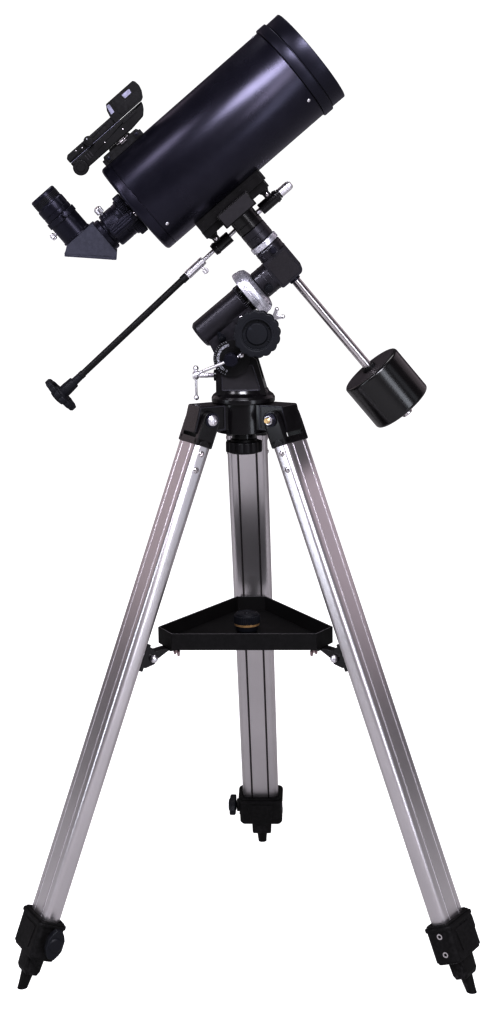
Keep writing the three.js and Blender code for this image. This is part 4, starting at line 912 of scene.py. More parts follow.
# ================================================================== declination head
def build_dec():
    blk = fillet([(-15.9, 18.2), (-15.9, -17.2), (15.7, -17.2), (15.7, 18.2)], [0.4, 2.6, 6.3, 0.4], 8)
    add = [prism(blk, -16, 16, 0, plane="XZ"),
           rev([(0, -34.9), (15.8, -34.9), (16.6, -34.0), (16.6, -15), (0, -15)], 96, "X", [0, 0.5, 0.5, 0, 0], 2),
           rev([(0, 17), (16.2, 17), (16.2, 28.2), (15.4, 29.2), (0, 29.2)], 96, "Z", [0, 0, 0.5, 0.5, 0], 2)]
    cut = [rod(8.35, 2, 40, "Z", 48, 0), rod(5.65, -20, -4, "Z", 40, 0)]
    shell = joined_cut(add, cut, bevel=0.9, segments=3, angle=34)
    more = [rod(10.0, -112, -34.5, "X", 48, 0.4, m=1),
            pipe(8.4, 16.75, 18.0, 19.2, "Z", 96, 0.3), pipe(8.4, 16.6, 24.6, 25.4, "Z", 96, 0.25),
            pipe(10.0, 17.0, -18.4, -17.2, "X", 96, 0.3), pipe(10.0, 16.95, -25.0, -24.0, "X", 96, 0.25),
            pipe(5.7, 8.2, -18.6, -17.0, "Z", 48, 0.4)]
    # side cover plate of the block on each face
    for s in (-1, 1):
        y0, y1 = (15.7, 16.5) if s > 0 else (-16.5, -15.7)
        more.append(prism(fillet([(-13.4, 15.2), (-13.4, -14.6), (13.2, -14.6), (13.2, 15.2)], [1.2, 2.0, 5.0, 1.2], 6), y0, y1, 0.35, plane="XZ", m=2))
    make("dec_casting", [shell] + more, POL, "dec_head", ["enamel_satin", "steel_turned", "enamel_panel"], "dec_housing", sharp=38)
    # white index marks beside both circles, small lock knob and cap screw
    marks = []
    for k in range(-4, 5):
        h = 3.4 if k == 0 else 1.9
        t = prism(rect(-0.22, 0.22, -h * 0.5, h * 0.5), 16.55, 16.74, 0)
        marks.append(moved(t, Matrix.Translation((-27.2 + k * 1.5, 0, 0)) @ Matrix.Rotation(52 * D, 4, "X")))
        t = prism(rect(-0.15, 0.15, -h, 0), 16.1, 16.3, 0)
        marks.append(moved(t, Matrix.Translation((0, 0, 28.6)) @ Matrix.Rotation((-96 + k * 6) * D, 4, "Z") @ Matrix.Rotation(90 * D, 4, "Y") @ Matrix.Rotation(90 * D, 4, "Z")))
    make("index_marks", marks, POL, "dec_head", ["ink_white"])
    tm = facing((-27.5, -15.4, -5.0), (0, -0.95, -0.31))
    tk = [rod(2.0, -2, 3.4, "Z", 20, 0.2), knurled(4.9, 2.4, 7.0, "Z", 18, 0.4, 0.6), rev([(0, 6.6), (3.2, 6.6), (2.8, 7.7), (0, 7.9)], 28, "Z", 0.3)]
    make("polar_clamp_knob", [moved(s, tm) for s in tk], POL, "dec_head", ["knob_navy"])
    tm = facing((3.0, -15.6, 23.0), (0.1, -0.99, 0.0))
    tk = [rod(2.0, -1, 3.0, "Z", 20, 0.2), rev([(0, 2.4), (3.6, 2.4), (4.0, 3.2), (4.0, 5.4), (3.2, 6.4), (0, 6.5)], 36, "Z", 0.3)]
    make("dec_clamp_knob", [moved(s, tm) for s in tk], POL, "dec_head", ["anodised_black"])


build_dec()

# declination circle with figures
shells = [rev([(8.4, 29.6), (15.6, 29.6), (16.9, 30.4), (16.9, 36.5), (15.8, 37.2), (8.4, 37.2)], 120, "Z", [0, 0.4, 0.5, 0.5, 0.4, 0], 3)]
for k in range(72):
    h = 2.6 if k % 6 == 0 else (1.8 if k % 2 == 0 else 1.2)
    t = prism(rect(0, h, -0.10, 0.10), 16.86, 16.96, 0)
    shells.append(painted(moved(t, Matrix.Translation((0, 0, 30.7)) @ Matrix.Rotation(k * 5 * D, 4, "Z") @ Matrix.Rotation(90 * D, 4, "Y") @ Matrix.Scale(-1, 4, (1, 0, 0))), 1))
for k in range(12):
    v = [0, 30, 60, 90, 60, 30, 0, 30, 60, 90, 60, 30][k]
    mt = Matrix.Rotation((k * 30 + 7) * D, 4, "Z") @ Matrix.Translation((16.9, 0, 34.7)) @ Matrix.Rotation(90 * D, 4, "Z") @ Matrix.Rotation(90 * D, 4, "X")
    shells.append(painted(moved(glyph(str(v), 2.6, 0.08), mt), 1))
make("dec_circle", shells, POL, "dec_setting_circle", ["cast_satin", "ink_dark"], "dec_setting_circle")

# counterweight bar, counterweight and its screw
shells = [rev([(0, -217), (5.25, -217), (5.25, -4.5), (0, -4.5)], 64, "Z", 0.4), rev([(0, -223.4), (6.2, -223.4), (6.8, -222.4), (6.8, -215.2), (6.2, -214.4), (0, -214.4)], 48, "Z", 0.4),
          pipe(5.2, 6.6, -21.4, -18.9, "Z", 48, 0.4, m=1)]
make("weight_bar", shells, POL, "dec_head", ["steel_turned", "anodised_black"], "counterweight_shaft", local=True)
c = 3.4
prof = [(5.6, -213.8), (36.9, -213.8), (36.9, -154.2), (5.6, -154.2)]
side_shell = joined_cut([rev(prof, 128, "Z", [0.8, 3.6, 3.6, 0.8], 8)], [rod(3.4, 0, 60, "Y", 32, 0, at=(0, 0, -184))], bevel=0.3)
shells = [side_shell, pipe(5.6, 33.4, -154.5, -154.05, "Z", 128, 0.15, m=1), pipe(5.6, 33.4, -213.95, -213.5, "Z", 128, 0.15, m=1),
          rev([(5.65, -155), (8.4, -155), (8.4, -150.6), (7.6, -149.8), (5.65, -149.8)], 48, "Z", 0.4, m=2)]
make("weight", shells, POL, "counterweight", ["iron_enamel", "iron_face", "moulded_black"], "counterweight")
shells = [threaded(3.0, 6.2, 41, "Y", 1.0), prism(lobes(7.4, 9.2, 6, 10, 0.5), 39.5, 51, 1.2, plane="XZ", steps=3),
          rev([(0, 50.6), (5.8, 50.6), (5.0, 52.0), (0, 52.4)], 40, "Y", 0.4), pipe(3.0, 5.2, 37.4, 39.7, "Y", 36, 0.4)]
make("weight_screw", [moved(s, Matrix.Translation((0, 0, -184))) for s in shells], POL, "counterweight_screw", ["chrome_plate"], "counterweight_screw")

# ================================================================== declination clamp ring, saddle and slow-motion drive
shells = [rod(8.0, -151, -116, "Z", 56, 0.4, m=1),
          rev([(0, -117.2), (14.6, -117.2), (15.6, -116.2), (15.6, -108.8), (15.15, -108.4), (15.15, -107.9), (15.6, -107.5), (15.6, -100.4), (15.0, -99.8), (0, -99.8)], 96, "Z", 0.2, 2),
          prism(fillet(rect(-5, 5, -113, -101), 1.2, 3), 10, 29, 0.8, plane="XZ"),
          prism(fillet(rect(-5, 5, -113, -87.5), 1.6, 4), 18.6, 29, 0.9, plane="XZ")]
tm = facing((-3.0, -15.0, -113.0), (-0.1, -0.99, 0))
shells += [moved(s, tm) for s in (rod(1.9, -1, 1.6, "Z", 20, 0.2, m=1), rev([(0, 1.0), (3.0, 1.0), (3.0, 2.6), (2.4, 3.3), (0, 3.4)], 28, "Z", 0.3))]
make("dec_ring", shells, TUB, "dec_clamp", ["enamel_satin", "steel_turned"], "dec_clamp_ring")

SY, SZ = 22, -92.9


def build_saddle():
    sh = [rev([(0, -99.4), (15.0, -99.4), (15.6, -98.8), (15.6, -92.0), (15.15, -91.6), (15.15, -91.1), (15.6, -90.7), (15.6, -74.0), (0, -74.0)], 96, "Z", 0.15, 2),
          prism(fillet(rect(-45.7, 44.5, -14, 30), 1.6, 4), -75.6, -66.9, 0.7),
          prism(fillet(rect(-21.8, 21.2, -30.5, -12), 1.4, 4), -79.8, -66.9, 0.8),
          prism(fillet(rect(-21.8, 21.2, -30.5, -20.5), 1.4, 4), -79.8, -61.8, 0.8),
          prism(fillet(rect(-20.2, 19.6, -78.4, -63.2), 1.0, 3), -30.9, -30.2, 0.25, plane="XZ", m=1)]
    for x in (-38, 37.2):
        sh.append(prism(fillet(rect(x - 4, x + 4, 17.5, 26.5), 1.2, 4), -92, -74.6, 0.6))
        sh.append(prism(fillet([(x - 8.5, -75), (x + 8.5, -75), (x + 4, -82), (x - 4, -82)], 1.2, 3), 18.4, 25.6, 0.6, plane="XZ"))
    sh.append(rev([(3.3, 21.2), (6.7, 21.2), (6.7, 47.2), (3.3, 47.2)], 56, "X", 0.7, 3, at=(0, SY, SZ)))
    sh.append(rev([(3.9, -49), (6.7, -49), (6.7, -24.2), (3.9, -24.2)], 56, "X", 0.7, 3, at=(0, SY, SZ)))
    sh.append(pipe(5.4, 7.3, -46.6, -43.4, "X", 56, 0.5, at=(0, SY, SZ)))
    sh.append(pipe(5.4, 7.3, 42.2, 45.0, "X", 56, 0.5, at=(0, SY, SZ)))
    make("saddle_casting", sh, TUB, "tube", ["enamel_black", "enamel_panel"], "saddle")
    # saddle clamp screws on the far side and the cap screws of the rail
    scr = [moved(cross_screw(2.6, 1.2), facing((x, y, -75.6), (0, 0, -1), 20)) for x, y in ((-30, 0), (30, 0))]
    scr.append(moved(cross_screw(2.2, 1.0), facing((37.2, 17.4, -84), (0, -1, 0), 20)))
    scr.append(moved(cross_screw(2.2, 1.0), facing((-38, 17.4, -84), (0, -1, 0), 50)))
    make("saddle_screws", scr, TUB, "tube", ["steel_turned"])


build_saddle()
shells = [rod(3.0, 7.2, 49, "X", 28, 0.6), pipe(3.0, 5.6, 47.6, 49.6, "X", 40, 0.3, m=1),
          rev([(0, 49.2), (5.3, 49.2), (5.3, 62.4), (4.4, 65.2), (2.6, 66.0), (0, 66.0)], 48, "X", [0, 0.3, 2, 1.5, 0.5, 0], 4),
          pipe(4.2, 5.55, 57.6, 58.4, "X", 48, 0.2)]
make("plunger", [moved(s, Matrix.Translation((0, SY, SZ))) for s in shells], TUB, "tube", ["chrome_plate", "enamel_black"], "spring_plunger")

shells = [rod(2.3, -16, 41.8, "X", 28, 0.3),
          joined_cut([rev([(0, -41.2), (4.2, -41.2), (5.0, -40.2), (5.0, -16.2), (4.4, -15.2), (0, -15.2)], 48, "X", 0.4)], [rod(1.6, -1, 9, "Z", 20, 0, at=(-22, 0, 0))], bevel=0.15),
          threaded(2.28, 18, 41.5, "X", 0.8),
          pipe(4.6, 5.25, -37.4, -36.6, "X", 48, 0.15)]
tm = facing((-22, 0, -4.2), (0, 0, -1))
shells += [moved(s, tm) for s in (rod(1.3, -2, 6.6, "Z", 18, 0.2), knurled(3.3, 4.0, 8.6, "Z", 18, 0.35, 0.5), rev([(0, 8.4), (2.2, 8.4), (1.8, 9.2), (0, 9.3)], 24, "Z", 0.2))]
make("slow_screw", shells, SLOW, "dec_slow_drive", ["chrome_plate"], "dec_slow_screw")


def coil_shaft():
    """Flexible shaft: close-wound steel under a smooth black jacket."""
    pts = [(0, -208)]
    n = 84
    for k in range(n):
        a = -208 + 166.3 * k / n
        pts += [(3.72, a), (3.85, a + 0.9)]
    pts += [(3.7, -41.5), (0, -41.5)]
    return rev(pts, 40, "X", 0, 1)


make("slow_shaft", [coil_shaft(), pipe(3.3, 4.5, -49, -41.4, "X", 40, 0.4), pipe(3.3, 4.4, -208.2, -203.5, "X", 40, 0.4)], SLOW, "dec_slow_drive", ["moulded_black"], "dec_slow_cable", sharp=60)
rim = lobes(20.9, 22.6, 14, 12, 0.45)
shells = [rev([(0, -218.5), (4.6, -218.5), (4.2, -208.3), (0, -208.3)], 40, "X", 0.4),
          rev([(0, -247), (6.0, -247), (7.1, -245.6), (7.1, -229), (6.4, -218), (0, -218)], 48, "X", 0.6),
          prism(rim, -243, -236.2, 1.3, plane="YZ", holes=[circle(16.4, 64)], steps=4),
          rev([(0, -246.4), (9.0, -246.4), (10.5, -242.4), (10.5, -237.0), (9.4, -235.2), (0, -235.2)], 56, "X", 0.6)]
for k in range(4):
    spoke = prism(fillet(rect(8, 18.5, -3.6, 3.6), 0.8, 2), -241.8, -237.4, 0.7)
    spoke = prism(fillet(rect(8.5, 18.4, -241.8, -237.2), 0.8, 2), -3.4, 3.4, 0.7, plane="XZ")
    spoke = ([(z, y, x) for x, y, z in spoke[0]], spoke[1], 0)
    shells.append(moved(spoke, Matrix.Rotation((k * 90 + 20) * D, 4, "X")))
make("slow_knob", shells, SLOW, "dec_slow_drive", ["knob_navy"], "dec_slow_knob")

# ================================================================== optical tube
def saddle_plate():
    body = prism(fillet(rect(-45, 46.7, -20, 20), 1.4, 3), -66.5, -50, 0)
    return joined_cut([body], [rod(56.8, -70, 70, "X", 128, 0)], bevel=0.5)


make("mounting_plate", [saddle_plate(),
                        prism(fillet(rect(-41.5, 43, -65.2, -57.4), 0.8, 3), -20.35, -19.8, 0.2, plane="XZ", m=0)],
     TUB, "tube", ["enamel_black"], "tube_plate", sharp=40)

make("tube_shell", [pipe(54.7, 56.5, -73.6, 140.4, "X", 224, 0.25)], TUB, "tube", ["lacquer_satin"], "tube_body", flat=False)
front = [(51.8, 128), (54.3, 128), (54.3, 140.8), (58.8, 140.8), (58.8, 152.4), (55.2, 152.4), (55.2, 153.5), (56.5, 153.5), (56.9, 170.4), (53.4, 170.4), (51.8, 161.2), (49.4, 161.2), (49.4, 158.6), (51.8, 158.6)]
shells = [rev(front, 224, "X", [0.2, 0.2, 0.2, 0.8, 0.8, 0.2, 0.2, 0.5, 0.9, 0.7, 0.2, 0.2, 0.2, 0.2], 4)]
# two small lugs on the retaining ring inside the rim
for k in range(2):
    m = Matrix.Rotation(k * 180 * D, 4, "X")
    shells.append(moved(prism(fillet(rect(49.3, 51.4, -4, 4), 0.3, 2), 161.0, 161.9, 0.2, plane="XY"), m @ Matrix(((0, 0, 1, 0), (1, 0, 0, 0), (0, 1, 0, 0), (0, 0, 0, 1)))))
make("front_ring", shells, TUB, "tube", ["anodised_black"], "front_cell", flat=False)


def lens_shell():
    sag = lambda r, R: R - math.sqrt(R * R - r * r)
    n = 14
    pts = [(50.6 * i / n, 139.6 + sag(50.6 * i / n, 152)) for i in range(n + 1)] + [(50.6 * i / n, 149.2 + sag(50.6 * i / n, 148)) for i in range(n, -1, -1)]
    return rev(pts, 128, "X", 0, 1)


make("corrector", [lens_shell()], TUB, "tube", ["glass_coated"], "corrector_lens", flat=False)

rear = [(20.6, -86), (48.6, -86), (56.5, -86), (56.5, -73.9), (54.3, -73.9), (54.3, -62), (51.6, -62), (51.6, -78.5), (20.6, -78.5)]
shells = [rev(rear, 224, "X", [0.3, 0, 8.0, 0.3, 0.2, 0.2, 0.2, 0.5, 0.3], 10),
          rev([(20.4, -87.0), (27.0, -87.0), (27.0, -85.6), (20.4, -85.6)], 128, "X", 0.3)]
shells[0] = joined_cut([shells[0]], [rod(3.4, -100, -60, "X", 28, 0, at=(0, -34, -1.5))])
make("rear_housing", shells, TUB, "tube", ["lacquer_satin"], "rear_cell", flat=False, sharp=30)

scr = []
for base_x, off in ((134.0, 0.0), (-67.0, 0.0)):
    for k in range(3):
        a = (-34 + 120 * k) * D
        n = (0, -math.cos(a), math.sin(a))
        scr.append(moved(cross_screw(2.1, 0.9), facing((base_x, n[1] * 56.35, n[2] * 56.35), n, 20 + 30 * k)))
for k in range(3):
    a = (20 + 120 * k) * D
    scr.append(moved(cross_screw(2.4, 0.9), facing((-85.9, 38 * math.cos(a), 38 * math.sin(a)), (-1, 0, 0), 15 * k)))
make("tube_screws", scr, TUB, "tube", ["chrome_plate"])

mir = [(12.2, 38), (11.2, 38), (11.2, -71), (50.8, -71), (50.8, -58.8)] + [(12.2 + (50.8 - 12.2) * i / 12, -62.2 + 3.4 * ((12.2 + (50.8 - 12.2) * i / 12) / 50.8) ** 2) for i in range(11, -1, -1)]
make("mirror_main", [rev(mir, 96, "X", 0, 1)], TUB, "primary_mirror", ["mirror_coat"], "primary_mirror", flat=False)

# visual back, knurled ring, collar and its thumb screw
shells = [rev([(16.2, -78), (20.0, -78), (20.0, -86.4), (22.6, -86.4), (22.6, -89), (16.2, -89)], 112, "X", 0.3),
          prism(lobes(25.1, 25.75, 64, 5, 1.0), -96.9, -88.2, 0.8, plane="YZ", holes=[circle(16.3, 96)], steps=3),
          rev([(16.2, -97.0), (22.4, -97.0), (22.4, -99.0), (20.5, -100.0), (20.5, -103.6), (20.0, -104.0), (20.0, -104.7), (20.5, -105.1), (20.5, -119.8), (19.6, -121.4), (16.2, -121.4)][::-1], 112, "X", 0.3, 3)]
make("visual_back_body", shells, TUB, "tube", ["anodised_black"], "visual_back", flat=False)
tm = facing((-116.2, -4.0, 19.8), (0, -0.22, 0.97))
tk = [rod(2.0, -2, 3.4, "Z", 20, 0.2), knurled(4.5, 2.4, 9.2, "Z", 26, 0.35, 0.7), rev([(0, 9.0), (3.4, 9.0), (3.0, 10.0), (0, 10.2)], 32, "Z", 0.3)]
make("visual_back_screw", [moved(s, tm) for s in tk], TUB, "tube", ["chrome_plate"])
shells = [prism(lobes(6.5, 7.25, 12, 10, 0.45), -118.8, -92.0, 0.6, plane="YZ", steps=3), rev([(0, -92.4), (6.2, -92.4), (6.4, -88.0), (0, -88.0)], 48, "X", 0.4),
          rev([(0, -120.2), (5.8, -120.2), (6.7, -118.6), (0, -118.6)], 48, "X", 0.4), rod(3.0, -89, -76.5, "X", 24, 0.2, m=1)]
make("focuser", [moved(s, Matrix.Translation((0, -34, -1.5))) for s in shells], TUB, "focus_knob", ["anodised_black", "steel_turned"], "focus_knob")

# ------------------------------------------------------------------ diagonal and eyepiece
EX = -152.2


def build_diagonal():
    pr = fillet([(-130, 20.4), (-167.2, 20.4), (-177.2, 13.4), (-136.2, -27.0), (-130, -20.8)], [0.6, 1.0, 1.0, 1.2, 0.8], 3)
    core = joined_cut([prism(pr, -20.2, 20.2, 0, plane="XZ")], [rod(15.9, 6, 60, "Z", 64, 0, at=(EX, 0, 0)), rod(12.5, -145, -90, "X", 48, 0)], bevel=0.5)
    sh = [core]
    # side plates with a lip along the slanting cover
    for s in (-1, 1):
        y0, y1 = (19.8, 21.0) if s > 0 else (-21.0, -19.8)
        sh.append(prism(fillet([(-130.3, 19.9), (-166.4, 19.9), (-175.6, 13.6), (-136.4, -25.6), (-130.3, -19.6)], 1.0, 3), y0, y1, 0.35, plane="XZ"))
    # slanting cover plate of the prism with its screws
    u = Vector((-41.0, 0, 40.4)).normalized()
    nrm = Vector((-40.4, 0, -41.0)).normalized()
    mid = (Vector((-177.2, 0, 13.4)) + Vector((-136.2, 0, -27.0))) / 2
    basis = Matrix(((u.x, 0, nrm.x, mid.x), (0, 1, 0, 0), (u.z, 0, nrm.z, mid.z), (0, 0, 0, 1)))
    sh.append(moved(prism(fillet(rect(-28.2, 28.2, -20.6, 20.6), 1.2, 3), -2.2, 0.0, 0.4), basis))
    sh.append(moved(prism(fillet(rect(-28.7, 28.7, -21.0, 21.0), 1.2, 3), -3.6, -2.6, 0.3), basis))
    sh += [pipe(12.6, 15.85, -131, -101, "X", 72, 0.4, m=1), pipe(12.6, 15.7, -112.4, -109.4, "X", 72, 0.3, m=1),
           rev([(12.7, -130.5), (19.0, -130.5), (19.0, -125.2), (18.0, -124), (12.7, -124)], 80, "X", 0.4, m=1),
           rev([(15.95, 20.0), (17.6, 20.0), (17.6, 22.2), (16.8, 22.8), (16.8, 43.3), (15.95, 43.3)], 80, "Z", 0.3, at=(EX, 0, 0), m=1),
           knurled(18.1, 43.2, 50, "Z", 72, 0.25, 0.5, at=(EX, 0, 0), m=1)]
    hole = joined_cut([sh[-1]], [rod(15.95, 40, 60, "Z", 64, 0, at=(EX, 0, 0))])
    sh[-1] = painted(hole, 1)
    make("diagonal_housing", sh, TUB, "diagonal", ["prism_grey", "anodised_black"], "diagonal_body", sharp=36)
    scr = [moved(cross_screw(1.5, 0.5), basis @ facing((x, y, -0.05), (0, 0, 1), 30)) for x in (-24.5, 24.5) for y in (-17, 17)]
    make("diagonal_screws", scr, TUB, "diagonal", ["steel_turned"])
    # thumb screws of the eyepiece holder: one bright, one dark
    tk = [rod(1.8, -2.0, 3.0, "Z", 20, 0.2), knurled(3.9, 2.0, 6.4, "Z", 22, 0.35, 0.6), rev([(0, 6.2), (2.8, 6.2), (2.4, 7.0), (0, 7.1)], 28, "Z", 0.25)]
    make("holder_screw_bright", [moved(s, facing((EX - 17.2, 2.0, 36.5), (-0.99, 0.12, 0))) for s in tk], TUB, "diagonal", ["chrome_plate"])
    make("holder_screw_dark", [moved(s, facing((EX + 5.4, -17.2, 47.0), (0.3, -0.95, 0))) for s in tk], TUB, "diagonal", ["anodised_black"])
    # mirror of the diagonal
    mm = basis @ Matrix.Translation((0, 0, -4.6))
    make("diagonal_mirror", [moved(prism(fillet(rect(-21, 17, -14, 14), 2, 3), -0.6, 0.6, 0.15), mm)], TUB, "diagonal", ["mirror_coat"])


build_diagonal()
ep = [(0, 10), (13.6, 10), (15.6, 10), (15.6, 13), (15.6, 40), (15.6, 50.4), (16.7, 50.4), (16.7, 55.4), (16.2, 55.8), (16.2, 56.4), (16.7, 56.8), (16.7, 65.6), (15.6, 66.8), (15.6, 78.2), (14.4, 79.6), (10.8, 79.6), (9.0, 77.4), (8.4, 76.6), (0, 76.6)]
shells = [rev(ep, 96, "Z", [0, 0, 0.6, 0, 0, 0.2, 0.4, 0.2, 0.2, 0.2, 0.2, 1.0, 0.6, 1.0, 1.0, 0.5, 0.5, 0.2, 0], 3, at=(EX, 0, 0)),
          rev([(0, 76.4), (8.2, 76.4), (6.5, 77.1), (3.5, 77.6), (0, 77.8)], 64, "Z", 0, 1, at=(EX, 0, 0), m=1),
          pipe(15.1, 15.72, 11, 17, "Z", 96, 0.1, at=(EX, 0, 0), m=2)]
# moulded grip bands of the eye end
for z in (68.6, 70.4, 72.2, 74.0):
    shells.append(pipe(15.0, 15.95, z, z + 0.9, "Z", 96, 0.25, at=(EX, 0, 0), m=3))
make("eyepiece_body", shells, TUB, "eyepiece", ["anodised_black", "glass_coated", "chrome_plate", "rubber_black"], "eyepiece", flat=False)

# ------------------------------------------------------------------ red-dot finder
def build_finder():
    shoe = joined_cut([prism(fillet(rect(-78, -23.8, -9, 9), 1.2, 3), 50, 62.5, 0)], [rod(56.8, -90, 0, "X", 128, 0)], bevel=0.5)
    sh = [shoe, prism(fillet([(-66, 62), (-34, 62), (-36, 67.9), (-64, 67.9)], 0.8, 3), -7, 7, 0.5, plane="XZ")]
    for s in (-1, 1):
        y0, y1 = (6.4, 9.2) if s > 0 else (-9.2, -6.4)
        sh.append(prism(fillet([(-76, 61.5), (-25, 61.5), (-27, 65.6), (-74, 65.6)], 1.0, 3), y0, y1, 0.4, plane="XZ"))
    # ribs and clamp screws of the shoe, steel adjusting wheel
    for x in (-70, -30):
        sh.append(prism(fillet(rect(x - 3.0, x + 3.0, 57.5, 64.5), 0.8, 2), -10.4, -8.6, 0.4, plane="XZ"))
    scr = [moved(cross_screw(1.9, 0.9), facing((x, -10.3, 61), (0, -1, 0), 20)) for x in (-70, -30)]
    make("finder_shoe", sh, TUB, "tube", ["moulded_black"], "finder_base", sharp=38)
    wheel = [knurled(3.9, -50.0, -42.6, "X", 22, 0.35, 0.5, at=(0, -9.6, 66.2)), rod(1.6, -54, -38.5, "X", 20, 0.2, at=(0, -9.6, 66.2))]
    make("finder_wheel", wheel, TUB, "tube", ["steel_turned"])
    # body: lower tray, upper shell with a seam, rear cap
    low = fillet([(-105.4, 71.4), (-103, 68.2), (-30, 68.2), (-12, 70.5), (-6.8, 75.7), (-4.2, 80), (-3.2, 83.6), (-105.4, 83.6)], [1.5, 2, 3, 4, 4, 3, 0.4, 0.4], 4)
    b1 = prism(low, -14.6, 14.6, 1.6, plane="XZ", steps=4)
    up = fillet([(-105.4, 84.2), (-38.8, 84.2), (-38.5, 92.8), (-102, 92.8), (-105.4, 90)], [0.4, 0.4, 0.8, 3, 2], 4)
    b2 = prism(up, -15, 15, 1.4, plane="XZ", steps=4)
    frame_out = fillet([(-41.5, 84.2), (-2.0, 84.2), (1.0, 86), (4.6, 92), (6.2, 98), (5.4, 104), (3.6, 106.2), (-34.5, 106.2), (-38.3, 100), (-40.0, 92.8)], [0.4, 1, 3, 6, 6, 3, 1.5, 2.0, 4, 1], 4)
    hood = joined_cut([prism(frame_out, -15, 15, 0, plane="XZ")],
                      [prism(rect(-60, 20, -11.8, 11.8), 86.6, 103.6, 0)], bevel=0.8, segments=3)
    sh = [b1, b2, hood]
    for e in (-1, 1):
        y0, y1 = (14.7, 15.15) if e > 0 else (-15.15, -14.7)
        # pale patches on the hood sides are painted reflections of the window
        sh.append(prism(fillet([(-37.4, 94.0), (-32.6, 94.2), (-31.6, 104.0), (-35.4, 104.6)], 0.8, 3), y0, y1, 0.15, plane="XZ", m=3))
        sh.append(prism(fillet([(-14.5, 97.2), (-5.4, 97.6), (-4.4, 102.4), (-15.6, 102.6)], 0.8, 3), y0, y1, 0.15, plane="XZ", m=3))
        y0, y1 = (14.9, 15.5) if e > 0 else (-15.5, -14.9)
        sh.append(prism(fillet([(-29.5, 87.2), (-0.8, 87.2), (3.4, 95), (-16.4, 95.4), (-18.0, 104.2), (-29.0, 104.2)], 1.6, 3), y0, y1, 0.3, plane="XZ"))
    # thin pale strip along the seam of the finder body is a painted highlight
    sh.append(prism(fillet(rect(-104.0, -34, 83.7, 84.1), 0.1, 2), -14.7, 14.7, 0.05, plane="XZ", m=1))
    sh.append(rev([(0, -17.3), (7.8, -17.3), (8.6, -16.2), (8.6, 16.2), (7.8, 17.3), (0, 17.3)], 56, "Y", 0.8, at=(-99.6, 0, 73.4)))
    sh.append(rev([(0, -18.0), (4.6, -18.0), (5.2, -17.0), (0, -17.0)], 40, "Y", 0.3, at=(-99.6, 0, 73.4)))
    # grip ribs on the rear cap, stiffening rib beside the window
    for k in range(3):
        sh.append(prism(fillet(rect(-88.5 + 3.2 * k, -87.1 + 3.2 * k, 73.5, 80.5), 0.4, 2), -15.1, -14.3, 0.25, plane="XZ", m=2))
    sh.append(prism(fillet([(-34, 78), (-14, 78.6), (-12, 81.4), (-33, 81.0)], 0.8, 3), -15.3, -14.2, 0.4, plane="XZ"))
    make("finder_housing", sh, TUB, "tube", ["moulded_black", "pale_painted_reflection", "enamel_panel", "pale_painted_reflection"], "finder_body", sharp=38)
    pane = prism(fillet(rect(-11.6, 11.6, 86.8, 103.4), 1.5, 3), -0.9, 0.9, 0.2, plane="YZ")
    tilt = Matrix.Translation((-9, 0, 95)) @ Matrix.Rotation(14 * D, 4, "Y") @ Matrix.Translation((0, 0, -95))
    make("finder_window", [moved(pane, tilt)], TUB, "tube", ["glass_red"])
    # bright inner reflector edge seen through the side window
    refl = prism(fillet(rect(-11.0, 11.0, 87.4, 102.6), 1.5, 3), -0.3, 0.3, 0.1, plane="YZ")
    tilt = Matrix.Translation((-24, 0, 95)) @ Matrix.Rotation(-24 * D, 4, "Y") @ Matrix.Translation((0, 0, -95))
    make("finder_reflector", [moved(refl, tilt)], TUB, "tube", ["mirror_coat"])
    dots = [moved(cross_screw(0.75, 0.35), facing((x, -14.9, z), (0, -1, 0), 20)) for x, z in ((-62, 76.5), (-38, 74.5), (-84.5, 88.2), (-92.0, 90.0))]
    make("finder_screws", dots, TUB, "tube", ["steel_turned"])
    make("shoe_screws", scr, TUB, "tube", ["anodised_black"])
    kn = [knurled(5.6, -20.6, -16.4, "Y", 26, 0.3, 0.5, at=(-74.4, 0, 89.2)), rod(4.2, -17, -15.2, "Y", 32, 0.3, at=(-74.4, 0, 89.2)),
          rod(3.8, -21.2, -20.2, "Y", 32, 0.3, at=(-74.4, 0, 89.2)), rod(0.7, -21.35, -20.9, "Y", 16, 0.1, at=(-74.4, 0, 92.0), m=1)]
    make("finder_dial", kn, TUB, "finder_knob", ["moulded_black", "ink_white"], "finder_knob")


build_finder()

# ================================================================== camera, floor and light
cam = bpy.data.cameras.new("camera")
cam_ob = bpy.data.objects.new("camera", cam)
SCENE.collection.objects.link(cam_ob)
fw = Vector((-0.05301425, 0.97978522, -0.19290003))
rt = Vector((0.99858046, 0.05101838, -0.01530296))
up_ = rt.cross(fw).normalized()
rt = fw.cross(up_).normalized()
cam_ob.matrix_world = Matrix(((rt.x, up_.x, -fw.x, 0.111366), (rt.y, up_.y, -fw.y, -2.015568), (rt.z, up_.z, -fw.z, 0.911994), (0, 0, 0, 1)))
cam.sensor_fit = "AUTO"
cam.sensor_width = 36
cam.lens = 36 * 1725.683 / 1013
SCENE.camera = cam_ob

floor_mesh = bpy.data.meshes.new("floor")
fb = bmesh.new()
bmesh.ops.create_circle(fb, cap_ends=True, segments=96, radius=30)
fb.to_mesh(floor_mesh)
fb.free()
floor = bpy.data.objects.new("floor", floor_mesh)
SCENE.collection.objects.link(floor)
fm = bpy.data.materials.new("floor_paper")
fm.use_nodes = True
nt = fm.node_tree
bs = nt.nodes["Principled BSDF"]
bs.inputs["Roughness"].default_value = 0.9
bs.inputs["Specular IOR Level"].default_value = 0.1
tcn = nt.nodes.new("ShaderNodeTexCoord")
nz = nt.nodes.new("ShaderNodeTexNoise")
nz.inputs["Scale"].default_value = 2.0
nt.links.new(tcn.outputs["Object"], nz.inputs["Vector"])
mx = nt.nodes.new("ShaderNodeMix")
mx.data_type = "RGBA"
mx.inputs["A"].default_value = (0.90, 0.90, 0.90, 1)
mx.inputs["B"].default_value = (0.92, 0.92, 0.92, 1)
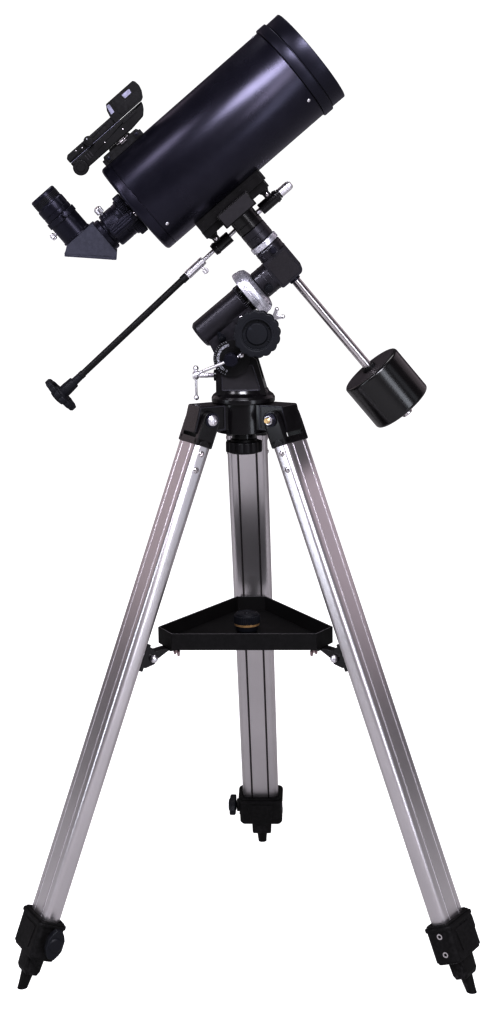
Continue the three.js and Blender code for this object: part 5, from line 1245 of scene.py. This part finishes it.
nt.links.new(nz.outputs["Fac"], mx.inputs["Factor"])
nt.links.new(mx.outputs["Result"], bs.inputs["Base Color"])
lp = nt.nodes.new("ShaderNodeLightPath")
ramp = nt.nodes.new("ShaderNodeMapRange")
ramp.inputs["To Min"].default_value = 0.22
ramp.inputs["To Max"].default_value = 1.0
nt.links.new(lp.outputs["Is Camera Ray"], ramp.inputs["Value"])
nt.links.new(ramp.outputs[0], bs.inputs["Emission Strength"])
bs.inputs["Emission Color"].default_value = (1.0, 1.0, 1.0, 1)
mx.inputs["A"].default_value = (0.36, 0.355, 0.36, 1)
mx.inputs["B"].default_value = (0.40, 0.395, 0.40, 1)
floor.data.materials.append(fm)

world = bpy.data.worlds.new("studio")
SCENE.world = world
world.use_nodes = True
nt = world.node_tree
bg = nt.nodes["Background"]
tcn = nt.nodes.new("ShaderNodeTexCoord")
lp = nt.nodes.new("ShaderNodeLightPath")
mx = nt.nodes.new("ShaderNodeMix")
mx.data_type = "RGBA"
mx.inputs["A"].default_value = (0.112, 0.100, 0.112, 1)
mx.inputs["B"].default_value = (1.05, 1.05, 1.05, 1)
nt.links.new(lp.outputs["Is Camera Ray"], mx.inputs["Factor"])
nt.links.new(mx.outputs["Result"], bg.inputs["Color"])
bg.inputs["Strength"].default_value = 1.0


def softbox(name, direction, distance, w, h, power, colour=(1, 1, 1), target=(0, -0.06, 0.75), spread=180):
    d = Vector(direction).normalized()
    li = bpy.data.lights.new(name, "AREA")
    li.shape = "RECTANGLE"
    li.size, li.size_y = w, h
    li.energy = power
    li.color = colour
    li.spread = spread * D
    ob = bpy.data.objects.new(name, li)
    SCENE.collection.objects.link(ob)
    ob.location = Vector(target) + d * distance
    ob.rotation_mode = "QUATERNION"
    ob.rotation_quaternion = (-d).to_track_quat("-Z", "Y")
    return ob


softbox("key_above", (0.02, -0.78, 0.63), 2.6, 1.1, 0.7, 105, (0.93, 0.93, 1.0))
softbox("side_right", (0.62, -0.78, -0.02), 2.6, 0.6, 1.2, 16, (0.88, 0.92, 1.0))
softbox("side_left", (-0.85, -0.5, 0.12), 2.6, 0.7, 1.6, 21, (0.86, 0.92, 1.0))
softbox("upper_left", (-0.62, -0.50, 0.60), 2.6, 0.6, 0.6, 18, (0.95, 0.93, 1.0))
softbox("upper_right", (0.36, -0.87, 0.33), 2.6, 0.5, 0.9, 24, (0.97, 0.95, 1.0))
softbox("top_back", (0.0, 0.35, 0.94), 2.8, 1.6, 1.2, 30, (1.0, 1.0, 1.0))
softbox("far_right", (0.9, -0.42, 0.12), 2.8, 0.7, 1.4, 3.6, (0.86, 0.92, 1.0))

softbox("back_left", (-0.756, 0.564, 0.333), 3.0, 2.2, 2.2, 11, (1.0, 0.86, 0.90))
softbox("back_right", (0.756, 0.564, 0.333), 3.0, 2.2, 2.2, 12, (1.0, 0.88, 0.95))

SCENE.view_settings.view_transform = "Standard"
SCENE.view_settings.look = "None"
SCENE.view_settings.exposure = 0.0
SCENE.view_settings.gamma = 0.76

bpy.context.view_layer.update()
